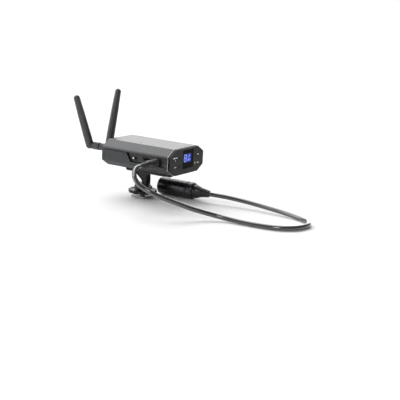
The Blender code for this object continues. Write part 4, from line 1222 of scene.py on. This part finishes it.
def antenna_whip(side, matrix):
    """The whip: a round tip, a gentle taper, a moulding line and a forked root."""
    tip = WHIP_LENGTH - WHIP_TIP_RADIUS
    shoulder = WHIP_TIP_RADIUS + (WHIP_RADIUS - WHIP_TIP_RADIUS) * 0.62
    groove = WHIP_RADIUS - 0.28
    profile = [(0, WHIP_LENGTH)] + [(r, z + tip) for z, r in arc((0, 0), WHIP_TIP_RADIUS, 0, 90, 14)[1:]]
    profile += along(WHIP_LINE, (shoulder, 22), (WHIP_RADIUS - 0.03, 0.35), (groove, 0.15), (groove, -0.2))
    profile += [(WHIP_RADIUS, WHIP_LINE - 0.4)]
    profile += [(r, z) for z, r in arc((0, 0), WHIP_RADIUS, 90, 180, 16)[:-1]] + [(0, -WHIP_RADIUS)]
    whip = lathe(f"whip_{side}", profile, (0, 0, 0), "antenna_rubber", steps=64, matrix=matrix)
    half, top, under = TONGUE_WIDTH / 2 + GAP, TONGUE_RADIUS + 1.0, -8
    fork = rounded([(-half, under), (half, under), (half, top), (-half, top)], [0, 0, 0.9, 0.9])
    cutters = [prism("fork", fork, -9, 9, "y", matrix=matrix)]
    for end in (-PIN_HALF_LENGTH, PIN_HALF_LENGTH):
        seat = circle((0, 0), 1.3, 28)
        cutters.append(prism("pin_seat", seat, end, end + math.copysign(2, end), "x", matrix=matrix))
    cut(whip, *cutters)
    fasten(whip, 0.16, "antenna_rubber", f"antenna_whip_{side}", angle=40, body=f"whip_{side}")


def elbow_pin(side, matrix, reach):
    """The elbow's pin with a domed head at each end."""
    profile = [(0, PIN_HALF_LENGTH), (0.7, 3.88), (1.0, 3.7), (1.0, 3.3), (0.8, 3.2)]
    profile += [(radius, -height) for radius, height in reversed(profile)]
    pin = lathe(f"pivot_pin_{side}", profile, (0, reach, 0), "steel", "x", 32, matrix=matrix)
    fasten(pin, 0.06, "steel", f"elbow_pin_{side}", body=f"barrel_{side}")


def antennas():
    for side in SIDES:
        barrel_matrix, whip_matrix, reach = antenna_frames(side)
        antenna_collar(side)
        antenna_barrel(side, barrel_matrix, reach)
        antenna_whip(side, whip_matrix)
        elbow_pin(side, barrel_matrix, reach)
        paint(f"antenna_lead_{side}", "shield_tin")


# ---- shoe mount and belt clip


def shoe_foot():
    """The foot plate with eased corners, and a threaded stud."""
    low, high = box_mm("shoe_foot")
    outline = slab((0, 0), (2 * high.x, 2 * high.x), 1.2)
    plate = prism("foot_plate", outline, low.z, low.z + FOOT_THICKNESS, "z", "steel")
    fasten(plate, 0.25, "steel", "shoe_foot", segments=3, body="base")
    profile = along(high.z, (0, 0), (THREAD_ROOT, 0), (THREAD_CREST - 0.2, -0.4))
    z = high.z - 0.6
    while z > FOOT_THICKNESS + 0.6:
        profile += [(THREAD_CREST, z), (THREAD_ROOT, z - THREAD_PITCH / 2)]
        z -= THREAD_PITCH
    profile += along(FOOT_THICKNESS, (THREAD_CREST, 0.3), (THREAD_CREST, -0.5), (0, -0.5))
    stud = lathe("foot_stud", profile, (0, 0, 0), "steel", steps=40)
    fasten(stud, 0.08, "steel", body="base")


def lock_washer():
    low, high = box_mm("pressure_washer")
    radius = high.x
    profile = along(low.z, (THREAD_HOLE, 0), (radius - 0.1, 0), (radius, 0.2))
    profile += along(high.z, (radius, -0.2), (radius - 0.2, 0), (THREAD_HOLE, 0))
    washer = lathe("clamp_ring", profile, (0, 0, 0), "mount_black", steps=64, loop=True)
    fasten(washer, 0.1, "mount_black", "pressure_washer", body="clamp_washer")


def wheel_reach(angle):
    """The wheel's radius at an angle in radians, with a notch between lobes."""
    return WHEEL_RADIUS - max(0.0, -math.cos(WHEEL_LOBES * angle)) ** 0.5


def clamp_wheel():
    """A hand wheel with broad lobes, a dished top and a raised hub."""
    low, high = box_mm("lock_wheel")
    outline = waved((0, 0), wheel_reach, WHEEL_LOBES * WHEEL_STEPS)
    wheel = prism("clamp_wheel_body", outline, low.z, high.z, "z", "mount_black")
    bore = drill(circle((0, 0), THREAD_HOLE, 40), low.z, high.z, "z")
    dish = along(high.z, (6.0, 1), (12.6, 1), (12.2, -0.5), (6.4, -0.5))
    cut(wheel, bore, lathe("dish", dish, (0, 0, 0), steps=64, loop=True))
    fasten(wheel, 0.4, "mount_black", "lock_wheel", segments=3, angle=32, body="clamp_wheel")


def column():
    low, high = box_mm("swivel_column")
    radius, groove = high.x, high.x - 0.35
    profile = along(high.z, (COLUMN_SOCKET, 0), (8.2, 0), (8.8, -0.35), (radius - 0.2, -0.9))
    profile += along(high.z, (radius - 0.1, -3.2), (groove, -3.35), (groove, -3.65), (radius - 0.05, -3.8))
    profile += [(radius, low.z), (COLUMN_SOCKET, low.z)]
    turned = lathe("mount_column", profile, (0, 0, 0), "mount_black", steps=64, loop=True)
    screw_height = joint_named("lock_screw_turn")["pos_m"][2] / MM
    seat = [(0, -12), (2.4, -12), (2.4, -8.9), (1.35, -8.9), (1.35, -3.0), (0, -3.0)]
    cut(turned, lathe("screw_seat", seat, (0, 0, screw_height), axis="y", steps=36))
    fasten(turned, 0.16, "mount_black", "swivel_column", body="base")


def set_screw():
    """A cap screw with a hexagonal socket."""
    low, high = box_mm("lock_screw")
    profile = along(high.y, (0, 0), (1.0, -0.3))
    profile += along(low.y, (1.0, 2.0), (1.9, 2.0), (1.9, 0.3), (1.6, 0), (0, 0))
    screw = lathe("set_screw", profile, axis_of("lock_screw", "y"), "steel", "y", 40)
    cut(screw, prism("hexagon", circle(centre_mm("lock_screw").xz, 0.95, 6), low.y - 1, low.y + 1.2, "y"))
    fasten(screw, 0.1, "steel", "lock_screw", body="lock_screw")


def adapter():
    """The arm and plate moulding, with a shallow panel on each side of the arm and eased edges."""
    low, high = box_mm("mount_adapter")
    plate_bottom = high.z - 3.0
    outline = slab((0, (low.y + high.y) / 2), (2 * high.x, high.y - low.y), 1.5)
    plate = prism("adapter_arm", outline, plate_bottom, high.z, "z", "mount_black")
    disc_bottom = box_mm("swivel_column")[1].z + GAP
    foot, top = disc_bottom + 0.7, plate_bottom + 1.0
    outline = [(-7.0, foot), (-1.4, foot), (-1.4, 18.0), (0.6, 20.6), (12.3, 29.7), (12.3, top), (-7.0, top)]
    arm = prism("arm", rounded(outline, [0, 0, 2.5, 2.5, 0.8, 0, 0]), -ARM_HALF_WIDTH, ARM_HALF_WIDTH, "x")
    profile = along(disc_bottom, (0, 1.4), (7.2, 1.4), (7.6, 1.0), (7.6, 0), (0, 0))
    disc = lathe("disc", profile, (0, 0, 0), steps=56)
    spigot = lathe("spigot", tube(0, 4.25, foot, low.z), (0, 0, 0), steps=40)
    join(plate, arm, disc, spigot)
    base = foot + 2.2
    panel = [(-5.6, base), (-2.8, base), (-2.6, 18.6), (-0.4, 21.6), (6.4, 27.0), (6.4, 28.6), (-5.6, 28.6)]
    panel = rounded(panel, 0.5)
    cut(plate, *[prism("panel", panel, side * (ARM_HALF_WIDTH - 0.4), side * 6, "x") for side in (-1, 1)])
    fasten(plate, 0.35, "mount_black", "mount_adapter", segments=3)


def clip_profile():
    """The clip's side view in y and z, with rounded bends in the sheet."""
    sheet = CLIP_THICKNESS
    top, low = SHELL_LOW.z - 0.4, box_mm("mount_adapter")[1].z - 3.4
    curl_y, curl_top = CURL_CENTRE[0], CURL_CENTRE[1] - 0.6
    upper = [(29.0, top), (15.4, top), (13.6, low), (-32.0, low), (curl_y, curl_top)]
    lower = [(curl_y, curl_top - sheet), (-32.0, low - sheet), (14.6, low - sheet), (16.4, top - sheet)]
    lower += [(29.0, top - sheet)]
    return rounded(upper + lower, [0.3, 1.2, 0.7, 3.0, 0, 0, 3.0, 1.4, 0.7, 0.3])


def belt_clip():
    low, high = box_mm("belt_clip")
    half = high.x
    clip = prism("spring_clip", clip_profile(), -half, half, "x", "clip_black")
    join(clip, lathe("curl", tube(0, CURL_RADIUS, half, -half), (0, *CURL_CENTRE), axis="x", steps=40))
    eye = lathe("eye", tube(0, 1.0, half + 2, -half - 2), (0, *CURL_CENTRE), axis="x", steps=28)
    outlines = [slab((0, -17.0), (10.4, 60.0), [0, 0, 2.5, 2.5])]
    outlines += [circle(centre_mm(f"clip_screw_{i}").xy, 1.7, 28) for i in CLIP_SCREWS]
    cut(clip, eye, *[drill(outline, low.z, high.z, "z") for outline in outlines])
    fasten(clip, 0.2, "clip_black", "belt_clip")


# ---- the whole


INNER_FINISHES = {
    "main_board": "circuit_green",
    "display_board": "circuit_green",
    "radio_shield": "shield_tin",
    "battery_pack": "battery_wrap",
    "power_switch_case": "bay_black",
    "select_button_contact": "bay_black",
    "pair_button_contact": "bay_black",
}


def build():
    cable_set()
    upper_housing()
    lower_housing()
    seam_liner()
    front_face()
    trim_ring()
    display()
    panel_marks()
    buttons()
    light_lenses()
    left_bay()
    power_switch()
    usb_port()
    jack_collar("output_socket", "output_jack", -1)
    jack_collar("phones_socket", "phones_jack", 1)
    right_bay()
    rear_face()
    antennas()
    shoe_foot()
    lock_washer()
    clamp_wheel()
    column()
    set_screw()
    adapter()
    belt_clip()
    screws()
    for node, finish in INNER_FINISHES.items():
        paint(node, finish)


make_camera()
FINISHES = {name: surface(name, **settings) for name, settings in FINISH_SETTINGS.items()}
make_studio()
build()
